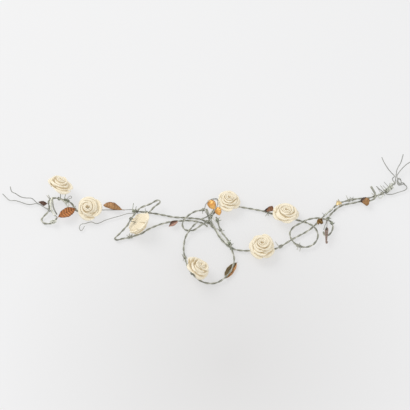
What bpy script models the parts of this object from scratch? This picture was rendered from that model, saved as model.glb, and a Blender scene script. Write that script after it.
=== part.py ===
"""Wire flower crown: barbed two-strand wire, rolled paper roses and pressed copper leaves, laid flat.

Metres, +Z up. The crown runs along X with its left tie wires at -X, and it rests on Z = 0.
Routes are in millimetres: x, y and a level, where level 0 is a wire lying on the table and each
level above it passes clear over a wire one level lower.
"""

import math

import bpy
from mathutils import Matrix, Vector

MM = 0.001

# Driving dimensions, in millimetres.
ROPE_DIAMETER = 2.8
TIE_DIAMETER = 1.0
BARB_DIAMETER = 1.0
ROSE_DIAMETER = 35.0
BAND_SCALE = 1.0
CROSSING_GAP = 0.4
COIL_GAP = 0.8
NECK_GAP = 2.4
PETAL_THICKNESS = 0.8
HEART_THICKNESS = 0.7
HEART_CLEARANCE = 0.9
LEAF_THICKNESS = 0.5
STEM_DIAMETER = 1.0
STEM_HOLE_CLEARANCE = 1.0

ROPE_RADIUS = ROPE_DIAMETER / 2
TIE_RADIUS = TIE_DIAMETER / 2
BARB_RADIUS = BARB_DIAMETER / 2
STEM_RADIUS = STEM_DIAMETER / 2
LEVEL_STEP = ROPE_DIAMETER + CROSSING_GAP

# Curve sampling.
FINE_STEP = 0.4
ROPE_STEP = 8.0
TIE_STEP = 5.0
LARGEST_TURN = math.radians(30)
ROPE_SIDES = 2
TIE_SIDES = 1
COIL_POINTS = 8
FRAME_REACH = 3
SHORTEST_END = 0.3

COLOURS = {
    "sage_wire": ((0.30, 0.33, 0.27), 0.55, 0.35),
    "grey_wire": ((0.36, 0.37, 0.35), 0.5, 0.6),
    "cream_paper": ((0.86, 0.80, 0.66), 0.75, 0.0),
    "copper": ((0.42, 0.19, 0.08), 0.4, 0.9),
    "gold": ((0.80, 0.48, 0.16), 0.35, 0.9),
}

# A neck is a bare stretch where the band bends. Its heading points from the fixed side to the side
# that lifts, and its axis lies across the band through the wires' centres.
NECKS = {
    "left_tie": {"centre": (-231.0, 23.5), "heading": 180.0, "level": 0.0},
    "left_band": {"centre": (-142.7, 4.0), "heading": 180.0, "level": 0.0},
    "centre_left": {"centre": (-35.6, -1.0), "heading": 180.0, "level": 0.0},
    "centre_right": {"centre": (50.8, -16.0), "heading": 0.0, "level": 0.0},
    "right_band": {"centre": (175.3, 16.8), "heading": 48.0, "level": 0.0},
    "right_tie": {"centre": (259.8, 62.5), "heading": 90.0, "level": 0.8},
}


def neck(name, side, offset):
    """A wire's end beside a neck: side -1 is fixed, side 1 lifts, and offset is along the axis."""
    spec = NECKS[name]
    angle = math.radians(spec["heading"])
    along = Vector((math.cos(angle), math.sin(angle)))
    axis = Vector((math.sin(angle), -math.cos(angle)))
    place = Vector(spec["centre"]) + along * side * NECK_GAP / 2 / BAND_SCALE + axis * offset
    return (place.x, place.y, spec["level"])


# Wires of each section: name, diameter, material and route.
ROPES = {
    "left_ring_rope": [
        (-202, -1, 1.2), (-208, -7, 0.4), (-219, -7, 0), (-223, -2, 0), (-220, 3, 0.3), (-215, 8, 0.8),
        (-213, 15, 1), (-214, 23, 1.1), (-211.5, 27.5, 1.2), (-205, 29, 1.2), (-198, 27.5, 1.2),
        (-189, 25, 1.2), (-182, 20, 1.2), (-178, 13, 1), (-174, 10.4, 0.5), (-168.5, 11.2, 0),
        (-162, 12.6, 0), (-154, 13.6, 0), neck("left_band", 1, 8.5),
    ],
    "main_upper_rope": [
        (-100, 10.5, 0.8), (-95, 10, 0.6), (-89, 9.5, 0.4), (-81, 9, 0.2), (-70, 7.5, 0), (-57, 5, 0),
        (-46, 2.5, 0), neck("centre_left", 1, 2),
    ],
    "upper_loop_rope": [
        (-93, 8, 2.2), (-90, 12, 2.3), (-76, 18, 2.6), (-67, 22.5, 3), (-63.2, 22.6, 3.1),
        (-62.6, 19.6, 3), (-66.5, 16.5, 2.8), (-72, 12.5, 2.2), (-76.5, 7.5, 1.6),
    ],
    "lower_loop_rope": [
        (-95, 4, 3.4), (-97, -1, 4.9), (-101, -9, 6.2), (-106, -17, 4.9), (-114, -23, 2.4),
        (-120.5, -27.4, 0.9), (-123, -30.4, 0.5), (-120.6, -32, 0.3), (-113, -30, 0), (-104, -28, 0),
        (-96, -25.5, 0), (-87, -22, 0), (-79, -16.5, 0), (-66, -10, 0), (-57, -7, 0), (-50, -5, 0),
        neck("centre_left", 1, -2),
    ],
    "centre_upper_rope": [
        neck("centre_left", -1, 2), (-25, 1, 0), (-14, 0, 0), (-4, -2.4, 0), (4, -7, 0), (11, -14, 0),
        (15, -22, 0), (21, -32, 0), (28, -39, 0), (34, -44, 0), (42, -46.5, 0),
        neck("centre_right", -1, 31.5),
    ],
    "centre_lower_rope": [
        neck("centre_left", -1, -2), (-25, -3, 0), (-14, -4, 0), (-5, -7, 0), (2, -11.5, 0),
    ],
    "small_loop_rope": [
        (-2, 10, 2.6), (-7, 9, 2.4), (-14, 8, 2), (-21, 5, 1.5), (-28, -1, 1.2), (-31.6, -7, 1.1),
        (-32, -11.5, 0.8), (-29.5, -16, 0.3), (-23, -18, 0), (-16, -17, 0.1), (-9, -12.5, 0.8),
        (0, -7, 1.2), (5, -2, 1.3), (9, 4, 1.3), (15, 12, 0.8), (22, 19, 0.3), (30, 22, 0),
        (41, 18.5, 0), neck("centre_right", -1, -32.2),
    ],
    "big_loop_rope": [
        (13.5, 0, 1.6), (16, -6, 1.2), (17.6, -13, 0.6), (21, -21, 0.5), (26, -28, 0.6),
        (31, -37, 1.05), (33.5, -45, 1.2), (35.5, -51, 1), (37.5, -58, 0.8), (37, -67, 0.8),
        (33, -78, 0.8), (26, -87, 0.8), (18, -93, 0.4), (9, -95.5, 0.1), (-3, -94.5, 0.5),
        (-13, -89, 1.4), (-20, -81.5, 2), (-25, -72, 1.5), (-27.5, -62, 0.6), (-30, -50, 0.1),
        (-30, -39, 0), (-28, -29, 0.4), (-23, -20, 1.2), (-19.4, -15, 1.2), (-16.5, -11.5, 0.9),
    ],
    "rose_six_rope": [
        neck("centre_right", 1, -32.2), (59, 15, 0), (69, 13, 0), (78, 11, 0), (87, 8, 0), (98, 5, 0),
        (108, 2, 0), (116, 0, 0), (123, -2, 0), (130, -4, 0), (138, -8, 0.5), (145, -13, 1.1),
        (149.5, -20, 1), (151, -26, 0.8), (149, -33, 0.6), (143, -40, 0.5), (134, -43, 0.5),
        (126, -42, 0.8), (120, -39, 1.1), (116, -34, 1.2), (113, -26, 1.1), (114, -20, 1.1),
        (120, -13, 1.2), (129, -8, 1.3), (138, -3, 1.2), (149, -1, 1.2), (158, -2, 1.3),
        (165, -4, 1.3), (170, -8, 1), (171.5, -13, 0.7), (170, -19, 0.4), (167, -23, 0.1),
        (163, -25.4, 0), (159.6, -24, 0), (158.4, -19.5, 0),
    ],
    "rose_seven_rope": [
        neck("centre_right", 1, 31.5), (58, -47.6, 0), (64, -46, 0), (73, -44.5, 0), (81, -45.6, 0),
        (88, -46.5, 0), (93, -45, 0), (101, -41, 0), (110, -35, 0), (116, -31, 0), (126, -25, 0),
        (135, -20, 0), (144, -13, 0), (150, -7, 0), (155, -1, 0), (160, 4, 0), (167, 10.5, 0),
        neck("right_band", -1, -1.75),
    ],
    "right_strand_rope": [
        (162.4, -7, 0), (164.6, -1, 0), (169.6, 7, 0), neck("right_band", -1, 1.75),
    ],
    "end_upper_rope": [
        neck("right_band", 1, -1.75), (181, 23, 0), (188, 25.6, 0), (195, 27.4, 0), (202, 29, 0),
        (210, 30, 0), (216, 30, 0), (222, 31, 0), (231, 34, 0), (237, 36, 0), (243, 39, 0.3),
        (248, 42, 0.5), (252, 46, 0.7), (255, 51, 0.8),
    ],
    "end_lower_rope": [
        neck("right_band", 1, 1.75), (184, 19.4, 0), (192, 21.6, 0), (201, 23.6, 0), (210, 25.6, 0),
        (218, 26, 0), (225, 27, 0.3), (229.6, 29.6, 1.1), (230, 34, 1.8), (227, 38, 3), (224, 41, 4.4),
    ],
}
TIES = {
    "tie_wire_left_upper": [
        (-266, 42, 4), (-264, 36, 3), (-259, 34, 2.4), (-252, 30, 1.8), (-246, 29, 1.4),
        (-237, 29, 0.8), neck("left_tie", 1, 2.2),
    ],
    "tie_wire_left_lower": [
        (-277, 36, 0.8), (-272, 31, 0.4), (-267, 27, 0.2), (-260, 27, 0), (-253, 25, 0), (-245, 22, 0),
        (-239, 21, 0), neck("left_tie", 1, -1.6),
    ],
    "tie_root_left": [
        neck("left_tie", -1, 2.2), (-224, 19, 0.8), (-218.6, 13.6, 2), (-213, 10.5, 2.2),
        (-209, 7, 1.8), (-205.4, 4, 1.4),
    ],
    "curl_wire": [
        neck("left_band", 1, -9.6), (-149, -7.4, 0), (-155, -5, 0), (-159, -5.6, 0), (-164, -7.6, 0),
        (-168, -8, 0), (-171, -11, 0), (-171, -16, 0), (-168.6, -18, 0), (-166.4, -15, 0),
        (-164.6, -11.4, 0),
    ],
    "link_wire": [
        neck("left_band", -1, -9.6), (-138, -3, 0), (-130, 0, 0), (-117, 4, 0), (-106, 7.6, 0),
        (-101, 7.4, 0.2),
    ],
    "leaf_wire": [
        neck("left_band", -1, 8.5), (-133, 13, 0), (-124, 13, 0), (-114, 13, 0.1), (-107, 13, 0.2),
        (-101, 13.4, 0.3),
    ],
    "ring_wire": [
        (246, 34, 0), (254, 35.4, 0), (261, 38, 0), (267, 41, 0), (273, 43, 0), (274.4, 47, 0),
        (272, 50.6, 0), (268, 52, 0), (264, 50.6, 0.3), (261.2, 53, 0.5), (261.2, 56.8, 0.7),
        (264, 58.8, 0.9), (266.6, 56.2, 1), (265.4, 52.8, 1.3), (262.6, 53.4, 1.7), (262, 57, 1.5),
        neck("right_tie", -1, 3.2),
    ],
    "loop_wire": [(258, 54, 1.9), (256, 54.6, 1.6), (254.6, 58, 1.1), neck("right_tie", -1, -3.8)],
    "tie_wire_right_left": [neck("right_tie", 1, -3.8), (250, 72, 1.4), (244, 81, 2), (241, 89, 2.6)],
    "tie_wire_right_middle": [
        neck("right_tie", 1, 0), (260.4, 70, 1.4), (264.6, 78, 2.2), (267, 84, 3), (270, 91, 4),
    ],
    "tie_wire_right_right": [neck("right_tie", 1, 3.2), (267, 70.6, 1.2), (273, 77, 1.6), (279, 82, 2)],
}

# Rose: the rope it is wired to, the place on the rope, the stem's lean from upright to the rope's left
# side, how far the bloom nods back from the stem, its size as a share of the rose diameter, and the
# bare stem between rope and petals in millimetres.
ROSES = {
    "rose_one": {"rope": "left_ring_rope", "near": (-200, 28), "lean": 42, "nod": 20, "bloom": 0.97, "stem": 16.0},
    "rose_two": {"rope": "left_ring_rope", "near": (-161, 13), "lean": -10, "nod": 0, "bloom": 0.97, "stem": 4.0},
    "rose_three": {"rope": "lower_loop_rope", "near": (-101, -9), "lean": 136, "nod": 0, "bloom": 1.0, "stem": 6.0},
    "rose_four": {"rope": "small_loop_rope", "near": (30, 22), "lean": 8, "nod": 0, "bloom": 0.9, "stem": 4.0},
    "rose_five": {"rope": "big_loop_rope", "near": (-18.4, -84), "lean": -35, "nod": 0, "bloom": 1.0, "stem": 7.0},
    "rose_six": {"rope": "rose_six_rope", "near": (107, 2), "lean": 20, "nod": 0, "bloom": 1.04, "stem": 4.0},
    "rose_seven": {"rope": "rose_seven_rope", "near": (74.8, -44.6), "lean": 2, "nod": 0, "bloom": 1.02, "stem": 4.0},
}

# Leaf: base, tip (x, y and height above the table in millimetres), width, roll about its length,
# fold of its two halves in degrees, bare stalk length and material.
LEAVES = {
    "tie_leaf": ((-215, 18.6, 8.4), (-227.8, 23, 6.4), 8, 0, 20, 2, "copper"),
    "ring_leaf": ((-200.8, -0.4, 8.2), (-177.2, 12.8, 8.2), 14, 0, 12, 2, "copper"),
    "link_leaf": ((-110, 11, 4), (-139.4, 18.8, 4.2), 11, 0, 14, 4, "copper"),
    "small_leaf": ((-39, -4.6, 4.4), (-50, -12, 4.4), 9, 0, 10, 1, "copper"),
    "loop_leaf": ((41.4, -62.6, 1.0), (25, -89, 1.0), 12, 0, 14, 2, "copper"),
    "gold_leaf": ((20.6, 2.8, 8.8), (2, 22, 12), 11, 0, 10, 2, "gold"),
    "bud_leaf": ((77.4, 10.8, 3.8), (92, 13.4, 5.2), 9, 0, 12, 2, "copper"),
    "crumpled_leaf": ((157.6, -10.6, 6), (150.4, -5.6, 6.4), 7, 0, 50, 1, "copper"),
    "hanging_leaf": ((163.4, -7, 9.4), (161.8, -38.6, 5), 7, 80, 10, 21, "copper"),
    "fan_leaf": ((208.6, 27, 4.8), (221.2, 20.8, 5.6), 13, 0, 12, 2, "copper"),
    "bright_leaf": ((184.4, 22.4, 4.2), (176, 19.2, 5), 7, 0, 16, 1, "gold"),
}

# Barb: the rope it is wrapped round, the place on it, and the turn where its first point leaves.
BARBS = {
    "band_barb": ("main_upper_rope", (-81, 9), 40),
    "loop_barb": ("big_loop_rope", (-28, -58), 0),
    "end_barb": ("end_upper_rope", (195, 27.4), 60),
}
BARB_TURNS = 2.0
BARB_PITCH = 1.4
BARB_POINT = 5.0
COIL_TURNS = 5.0
COIL_PITCH = 2.2
STEM_TURNS = 2
STEM_PITCH = 1.5
STEM_REACH = 4.0
STEM_KINK = 0.4

# Rose shape, as shares of the petal cup's radius.
CUP_HEIGHT = 0.24
CUP_LIP = 0.05
CUP_SCALLOPS = 5
CUP_SCALLOP_DEPTH = 0.07
CUP_SIDES = 20
CUP_RINGS = (0.0, 0.34, 0.72, 0.93, 1.0)
HEART_INNER = 0.1
HEART_OUTER = 0.52
HEART_TOP = 0.80
HEART_TURNS = 2.25
HEART_TAPER = 0.1
HEART_FLARE = 1.06
HEART_SIDES_PER_TURN = 10

# Leaf outline: share of the blade's length, and half width as a share of half the leaf's width.
LEAF_STATIONS = (
    (0.0, 0.12), (0.16, 0.62), (0.36, 0.96), (0.56, 1.0), (0.76, 0.72), (0.92, 0.34), (1.0, 0.06),
)
STALK_HALF_WIDTH = 0.45
LONG_STALK = 3

# Pieces that lift with each neck. Every other piece stays with the middle of the crown.
NECK_PARENTS = {
    "centre_left": "crown_frame",
    "left_band": "centre_left_neck",
    "left_tie": "left_band_neck",
    "centre_right": "crown_frame",
    "right_band": "centre_right_neck",
    "right_tie": "right_band_neck",
}
SECTIONS = {
    "centre_left_neck": (
        "leaf_wire", "link_wire", "main_upper_rope", "upper_loop_rope", "lower_loop_rope", "band_barb",
        "link_leaf", "small_leaf", "rose_three_pivot",
    ),
    "left_band_neck": (
        "left_ring_rope", "curl_wire", "tie_root_left", "ring_leaf", "tie_leaf", "rose_one_pivot",
        "rose_two_pivot",
    ),
    "left_tie_neck": ("tie_wire_left_upper", "tie_wire_left_lower"),
    "centre_right_neck": (
        "rose_six_rope", "rose_seven_rope", "right_strand_rope", "bud_leaf", "crumpled_leaf",
        "hanging_leaf", "rose_six_pivot", "rose_seven_pivot",
    ),
    "right_band_neck": (
        "end_upper_rope", "end_lower_rope", "end_coil", "end_barb", "ring_wire", "loop_wire",
        "bright_leaf", "fan_leaf",
    ),
    "right_tie_neck": ("tie_wire_right_left", "tie_wire_right_middle", "tie_wire_right_right"),
}


def clear_scene():
    for item in list(bpy.data.objects):
        bpy.data.objects.remove(item, do_unlink=True)


def make_material(name):
    colour, roughness, metallic = COLOURS[name]
    material = bpy.data.materials.get(name) or bpy.data.materials.new(name)
    material.use_nodes = True
    shader = material.node_tree.nodes["Principled BSDF"]
    shader.inputs["Base Color"].default_value = (*colour, 1.0)
    shader.inputs["Roughness"].default_value = roughness
    shader.inputs["Metallic"].default_value = metallic
    return material


def level_height(level):
    return ROPE_RADIUS + level * LEVEL_STEP


def placed(x, y, height):
    return Vector((x * BAND_SCALE, y * BAND_SCALE, height)) * MM


def smooth_path(route):
    """Close-set points on a centripetal Catmull-Rom curve through the route."""
    knots = [placed(x, y, level_height(level)) for x, y, level in route]
    knots = [2 * knots[0] - knots[1], *knots, 2 * knots[-1] - knots[-2]]
    samples = []
    for a, b, c, d in zip(knots, knots[1:], knots[2:], knots[3:]):
        t1 = (b - a).length ** 0.5
        t2 = t1 + (c - b).length ** 0.5
        t3 = t2 + (d - c).length ** 0.5
        count = max(2, int((c - b).length / (FINE_STEP * MM)))
        for i in range(count):
            t = t1 + (t2 - t1) * i / count
            ab = a.lerp(b, t / t1)
            bc = b.lerp(c, (t - t1) / (t2 - t1))
            cd = c.lerp(d, (t - t2) / (t3 - t2))
            near_b = ab.lerp(bc, t / t2)
            near_c = bc.lerp(cd, (t - t1) / (t3 - t1))
            samples.append(near_b.lerp(near_c, (t - t1) / (t2 - t1)))
    samples.append(knots[-2])
    return samples


def thinned(samples, step):
    """Fewer points: one each step, and more where the path turns."""
    kept = [samples[0]]
    heading = (samples[1] - samples[0]).normalized()
    travelled = 0.0
    for before, here, after in zip(samples, samples[1:], samples[2:]):
        travelled += (here - before).length
        direction = (after - here).normalized()
        if travelled >= step * MM or direction.angle(heading) >= LARGEST_TURN:
            kept.append(here)
            heading = direction
            travelled = 0.0
    if travelled < step * MM * SHORTEST_END and len(kept) > 2:
        kept.pop()
    kept.append(samples[-1])
    return kept


def make_tube(name, points, radius, sides, material, collection):
    curve = bpy.data.curves.new(name, "CURVE")
    curve.dimensions = "3D"
    curve.bevel_depth = radius * MM
    curve.bevel_resolution = sides
    curve.use_fill_caps = True
    spline = curve.splines.new("POLY")
    spline.points.add(len(points) - 1)
    for target, point in zip(spline.points, points):
        target.co = (*point, 1.0)
    curve.materials.append(make_material(material))
    tube = bpy.data.objects.new(name, curve)
    collection.objects.link(tube)
    return tube


def nearest(samples, place):
    target = placed(*place, 0.0)
    return min(range(len(samples)), key=lambda i: (samples[i].xy - target.xy).length)


def frame_at(samples, index):
    """The path's direction, its left side and its upper side at a sample."""
    low = max(index - FRAME_REACH, 0)
    high = min(index + FRAME_REACH, len(samples) - 1)
    along = (samples[high] - samples[low]).normalized()
    upper = (Vector((0, 0, 1)) - along * along.z).normalized()
    return along, upper.cross(along), upper


def walk(samples, index, distance):
    """The sample reached from another by going this far along the path, and the short way left over."""
    step = 1 if distance > 0 else -1
    left_over = abs(distance)
    while 0 <= index + step < len(samples):
        length = (samples[index + step] - samples[index]).length
        if length > left_over:
            break
        left_over -= length
        index += step
    return index, step * left_over


def wrapped_wire(samples, index, turns, pitch, start, point_length):
    """A wire wound round a path, with a straight point leaving it at each end."""
    radius = (ROPE_RADIUS + COIL_GAP + BARB_RADIUS) * MM
    coil = []
    for i in range(int(turns * COIL_POINTS) + 1):
        angle = start + 2 * math.pi * i / COIL_POINTS
        at, left_over = walk(samples, index, (i / COIL_POINTS - turns / 2) * pitch * MM)
        along, left, upper = frame_at(samples, at)
        centre = samples[at] + along * left_over
        coil.append(centre + (left * math.cos(angle) + upper * math.sin(angle)) * radius)
    first = (coil[0] - coil[1]).normalized() * point_length * MM
    last = (coil[-1] - coil[-2]).normalized() * point_length * MM
    return [coil[0] + first, *coil, coil[-1] + last]


def make_sheet(name, vertices, faces, thickness, material, collection):
    mesh = bpy.data.meshes.new(name)
    mesh.from_pydata(vertices, [], faces)
    mesh.materials.append(make_material(material))
    sheet = bpy.data.objects.new(name, mesh)
    collection.objects.link(sheet)
    solidify = sheet.modifiers.new("thickness", "SOLIDIFY")
    solidify.thickness = thickness * MM
    solidify.offset = 0.0
    mesh.shade_smooth()
    return sheet


def cup_height(radius, cup_radius):
    """The petal cup's middle surface above its base."""
    share = radius / cup_radius
    return cup_radius * CUP_HEIGHT * share * share


def make_petals(name, cup_radius, collection):
    vertices = []
    faces = []
    hole = STEM_RADIUS + STEM_HOLE_CLEARANCE + PETAL_THICKNESS / 2
    for ring, share in enumerate(CUP_RINGS):
        for side in range(CUP_SIDES):
            angle = 2 * math.pi * side / CUP_SIDES
            scallop = math.cos(CUP_SCALLOPS * angle) * CUP_SCALLOP_DEPTH * share
            radius = hole + (cup_radius * (1 - CUP_SCALLOP_DEPTH) - hole) * share
            radius *= 1 + scallop
            height = cup_height(radius, cup_radius)
            if ring == len(CUP_RINGS) - 1:
                height -= cup_radius * CUP_LIP
            vertices.append(Vector((radius * math.cos(angle), radius * math.sin(angle), height)) * MM)
    for ring in range(len(CUP_RINGS) - 1):
        for side in range(CUP_SIDES):
            a = ring * CUP_SIDES + side
            b = ring * CUP_SIDES + (side + 1) % CUP_SIDES
            faces.append((a, a + CUP_SIDES, b + CUP_SIDES, b))
    return make_sheet(name, vertices, faces, PETAL_THICKNESS, "cream_paper", collection)


def make_heart(name, cup_radius, collection):
    vertices = []
    faces = []
    count = int(HEART_TURNS * HEART_SIDES_PER_TURN)
    for i in range(count + 1):
        share = i / count
        angle = 2 * math.pi * i / HEART_SIDES_PER_TURN
        radius = cup_radius * (HEART_INNER + (HEART_OUTER - HEART_INNER) * share) + STEM_RADIUS
        foot = cup_height(radius, cup_radius) + PETAL_THICKNESS / 2 + HEART_CLEARANCE
        top = cup_radius * (HEART_TOP - HEART_TAPER * share)
        for height, flare in ((foot, 1.0), (top, HEART_FLARE)):
            x = radius * flare * math.cos(angle)
            y = radius * flare * math.sin(angle)
            vertices.append(Vector((x, y, height)) * MM)
    for i in range(count):
        a = 2 * i
        faces.append((a, a + 2, a + 3, a + 1))
    return make_sheet(name, vertices, faces, HEART_THICKNESS, "cream_paper", collection)


def make_stem(name, stem_length, nod, collection):
    """Two turns round the rope, which runs along local X, then up and into the bloom."""
    radius = ROPE_RADIUS + COIL_GAP + STEM_RADIUS
    points = []
    for i in range(STEM_TURNS * COIL_POINTS + 1):
        angle = 2 * math.pi * i / COIL_POINTS
        x = (i / COIL_POINTS - STEM_TURNS / 2) * STEM_PITCH
        points.append(Vector((x, radius * math.cos(angle), radius * math.sin(angle))) * MM)
    rise = (radius + stem_length) / 2
    points.append(Vector((STEM_TURNS / 2 * STEM_PITCH, radius, rise)) * MM)
    bloom_base = Vector((0.0, 0.0, stem_length))
    points.append((bloom_base - nod @ Vector((0.0, 0.0, STEM_KINK))) * MM)
    points.append((bloom_base + nod @ Vector((0.0, 0.0, STEM_REACH))) * MM)
    return make_tube(name, points, STEM_RADIUS, TIE_SIDES, "sage_wire", collection)


def make_rose(name, spec, paths, collection):
    samples = paths[spec["rope"]]
    index = nearest(samples, spec["near"])
    along, left, upper = frame_at(samples, index)
    lean = math.radians(spec["lean"])
    face = upper * math.cos(lean) + left * math.sin(lean)
    side = face.cross(along)
    pivot = bpy.data.objects.new(name + "_pivot", None)
    collection.objects.link(pivot)
    turn = Matrix((along, side, face)).transposed().to_4x4()
    pivot.matrix_world = Matrix.Translation(samples[index]) @ turn
    cup_radius = ROSE_DIAMETER / 2 * spec["bloom"]
    base = spec["stem"] + ROPE_RADIUS
    petals = make_petals(name + "_petals", cup_radius, collection)
    heart = make_heart(name + "_heart", cup_radius, collection)
    nod = Matrix.Rotation(math.radians(spec["nod"]), 3, "X")
    stem = make_stem(name + "_stem", base, nod, collection)
    for piece in (petals, heart):
        piece.matrix_world = Matrix.Translation((0, 0, base * MM)) @ nod.to_4x4()
    for piece in (petals, heart, stem):
        piece.parent = pivot
    return pivot


def make_leaf(name, spec, collection):
    base, tip, width, roll, fold, stalk, material = spec
    start = placed(*base)
    end = placed(*tip)
    along = (end - start).normalized()
    across = Vector((0, 0, 1)).cross(along).normalized()
    across = Matrix.Rotation(math.radians(roll), 3, along) @ across
    normal = along.cross(across)
    length = (end - start).length
    blade = length - stalk * MM
    rise = math.tan(math.radians(fold))
    stations = [(0.0, STALK_HALF_WIDTH * MM)]
    if stalk > LONG_STALK:
        stations.append((stalk / 2 * MM, STALK_HALF_WIDTH * MM))
    for share, half in LEAF_STATIONS:
        half_width = max(half * width / 2, STALK_HALF_WIDTH) * MM
        stations.append((stalk * MM + blade * share, half_width))
    vertices = []
    faces = []
    for distance, half in stations:
        middle = along * distance
        lift = normal * half * rise
        vertices += [middle - across * half + lift, middle, middle + across * half + lift]
    for i in range(len(stations) - 1):
        for j in range(2):
            a = 3 * i + j
            faces.append((a, a + 3, a + 4, a + 1))
    leaf = make_sheet(name, vertices, faces, LEAF_THICKNESS, material, collection)
    leaf.location = start
    return leaf


def attach(item, parent):
    """Makes the item move with its parent from where it is now."""
    bpy.context.view_layer.update()
    item.parent = parent
    item.matrix_parent_inverse = parent.matrix_world.inverted()


def join_sections(collection, frame):
    parents = {"crown_frame": frame}
    for place, spec in NECKS.items():
        pivot = bpy.data.objects.new(place + "_neck", None)
        collection.objects.link(pivot)
        pivot.location = placed(*spec["centre"], level_height(spec["level"]))
        pivot.rotation_euler.z = math.radians(spec["heading"])
        parents[pivot.name] = pivot
    for place, parent in NECK_PARENTS.items():
        attach(parents[place + "_neck"], parents[parent])
    for pivot, pieces in SECTIONS.items():
        for piece in pieces:
            attach(collection.objects[piece], parents[pivot])
    for item in collection.objects:
        if item.parent is None and item is not frame:
            attach(item, frame)


def centre_on_table(collection, frame):
    """Moves the whole crown so that the origin is at the middle of its box, on the table."""
    bpy.context.view_layer.update()
    graph = bpy.context.evaluated_depsgraph_get()
    corners = []
    for item in collection.objects:
        if item.type == "EMPTY":
            continue
        shape = item.evaluated_get(graph)
        mesh = shape.to_mesh()
        corners += [item.matrix_world @ vertex.co for vertex in mesh.vertices]
        shape.to_mesh_clear()
    low = [min(corner[i] for corner in corners) for i in range(3)]
    high = [max(corner[i] for corner in corners) for i in range(3)]
    frame.location = (-(low[0] + high[0]) / 2, -(low[1] + high[1]) / 2, -low[2])


def build():
    clear_scene()
    collection = bpy.data.collections.new("flower_crown")
    bpy.context.scene.collection.children.link(collection)
    paths = {name: smooth_path(route) for name, route in {**ROPES, **TIES}.items()}
    for name in ROPES:
        points = thinned(paths[name], ROPE_STEP)
        make_tube(name, points, ROPE_RADIUS, ROPE_SIDES, "sage_wire", collection)
    for name in TIES:
        points = thinned(paths[name], TIE_STEP)
        make_tube(name, points, TIE_RADIUS, TIE_SIDES, "grey_wire", collection)
    for name, (rope, near, start) in BARBS.items():
        samples = paths[rope]
        index = nearest(samples, near)
        points = wrapped_wire(samples, index, BARB_TURNS, BARB_PITCH, math.radians(start), BARB_POINT)
        make_tube(name, points, BARB_RADIUS, TIE_SIDES, "sage_wire", collection)
    samples = paths["end_upper_rope"]
    coil = wrapped_wire(samples, nearest(samples, (248, 42)), COIL_TURNS, COIL_PITCH, 0.0, 2.0)
    make_tube("end_coil", coil, BARB_RADIUS, TIE_SIDES, "sage_wire", collection)
    for name, spec in ROSES.items():
        make_rose(name, spec, paths, collection)
    for name, spec in LEAVES.items():
        make_leaf(name, spec, collection)
    frame = bpy.data.objects.new("crown_frame", None)
    collection.objects.link(frame)
    join_sections(collection, frame)
    centre_on_table(collection, frame)


build()
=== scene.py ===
import math
import random

import bpy
import numpy as np
from mathutils import Matrix, Vector


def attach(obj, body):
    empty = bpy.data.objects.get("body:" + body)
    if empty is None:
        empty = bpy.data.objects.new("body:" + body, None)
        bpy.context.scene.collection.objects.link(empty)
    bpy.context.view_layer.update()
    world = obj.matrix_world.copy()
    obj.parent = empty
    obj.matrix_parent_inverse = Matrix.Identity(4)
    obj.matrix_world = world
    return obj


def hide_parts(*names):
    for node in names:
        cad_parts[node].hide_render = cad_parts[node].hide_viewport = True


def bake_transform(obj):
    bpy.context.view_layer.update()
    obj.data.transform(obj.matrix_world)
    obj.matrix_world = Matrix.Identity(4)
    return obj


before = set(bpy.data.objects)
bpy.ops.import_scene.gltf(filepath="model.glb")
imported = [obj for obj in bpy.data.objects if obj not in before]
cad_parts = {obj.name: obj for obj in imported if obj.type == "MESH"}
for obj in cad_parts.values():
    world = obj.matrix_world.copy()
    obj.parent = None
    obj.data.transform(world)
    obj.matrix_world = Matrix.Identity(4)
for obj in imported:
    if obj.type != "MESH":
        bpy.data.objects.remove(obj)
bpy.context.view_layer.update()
print("frame loaded:", len(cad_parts), "nodes")

mm = 0.001
tableShift = np.array((-0.98, 3.06, 1.84))  # from route millimetres to the crown's own middle
ropeRadius = 1.4
levelStep = 3.2  # one wire passing over another

crown = bpy.data.collections.new("flowerCrown")
bpy.context.scene.collection.children.link(crown)


def addNode(tree, kind, settings=None, **inputs):
    node = tree.nodes.new(kind)
    for name, value in (settings or {}).items():
        setattr(node, name, value)
    for name, value in inputs.items():
        node.inputs[name].default_value = value
    return node


def fillSocket(tree, socket, value):
    if isinstance(value, (int, float, tuple)):
        socket.default_value = value
    else:
        tree.links.new(value, socket)


def mathNode(tree, operation, *values):
    node = tree.nodes.new("ShaderNodeMath")
    node.operation = operation
    for socket, value in zip(node.inputs, values):
        fillSocket(tree, socket, value)
    return node.outputs[0]


def mixColours(tree, mask, first, second):
    node = tree.nodes.new("ShaderNodeMix")
    node.data_type = "RGBA"
    for index, value in ((0, mask), (6, first), (7, second)):  # factor and the two colour sockets
        fillSocket(tree, node.inputs[index], (*value, 1) if isinstance(value, tuple) else value)
    return node.outputs[2]


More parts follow.
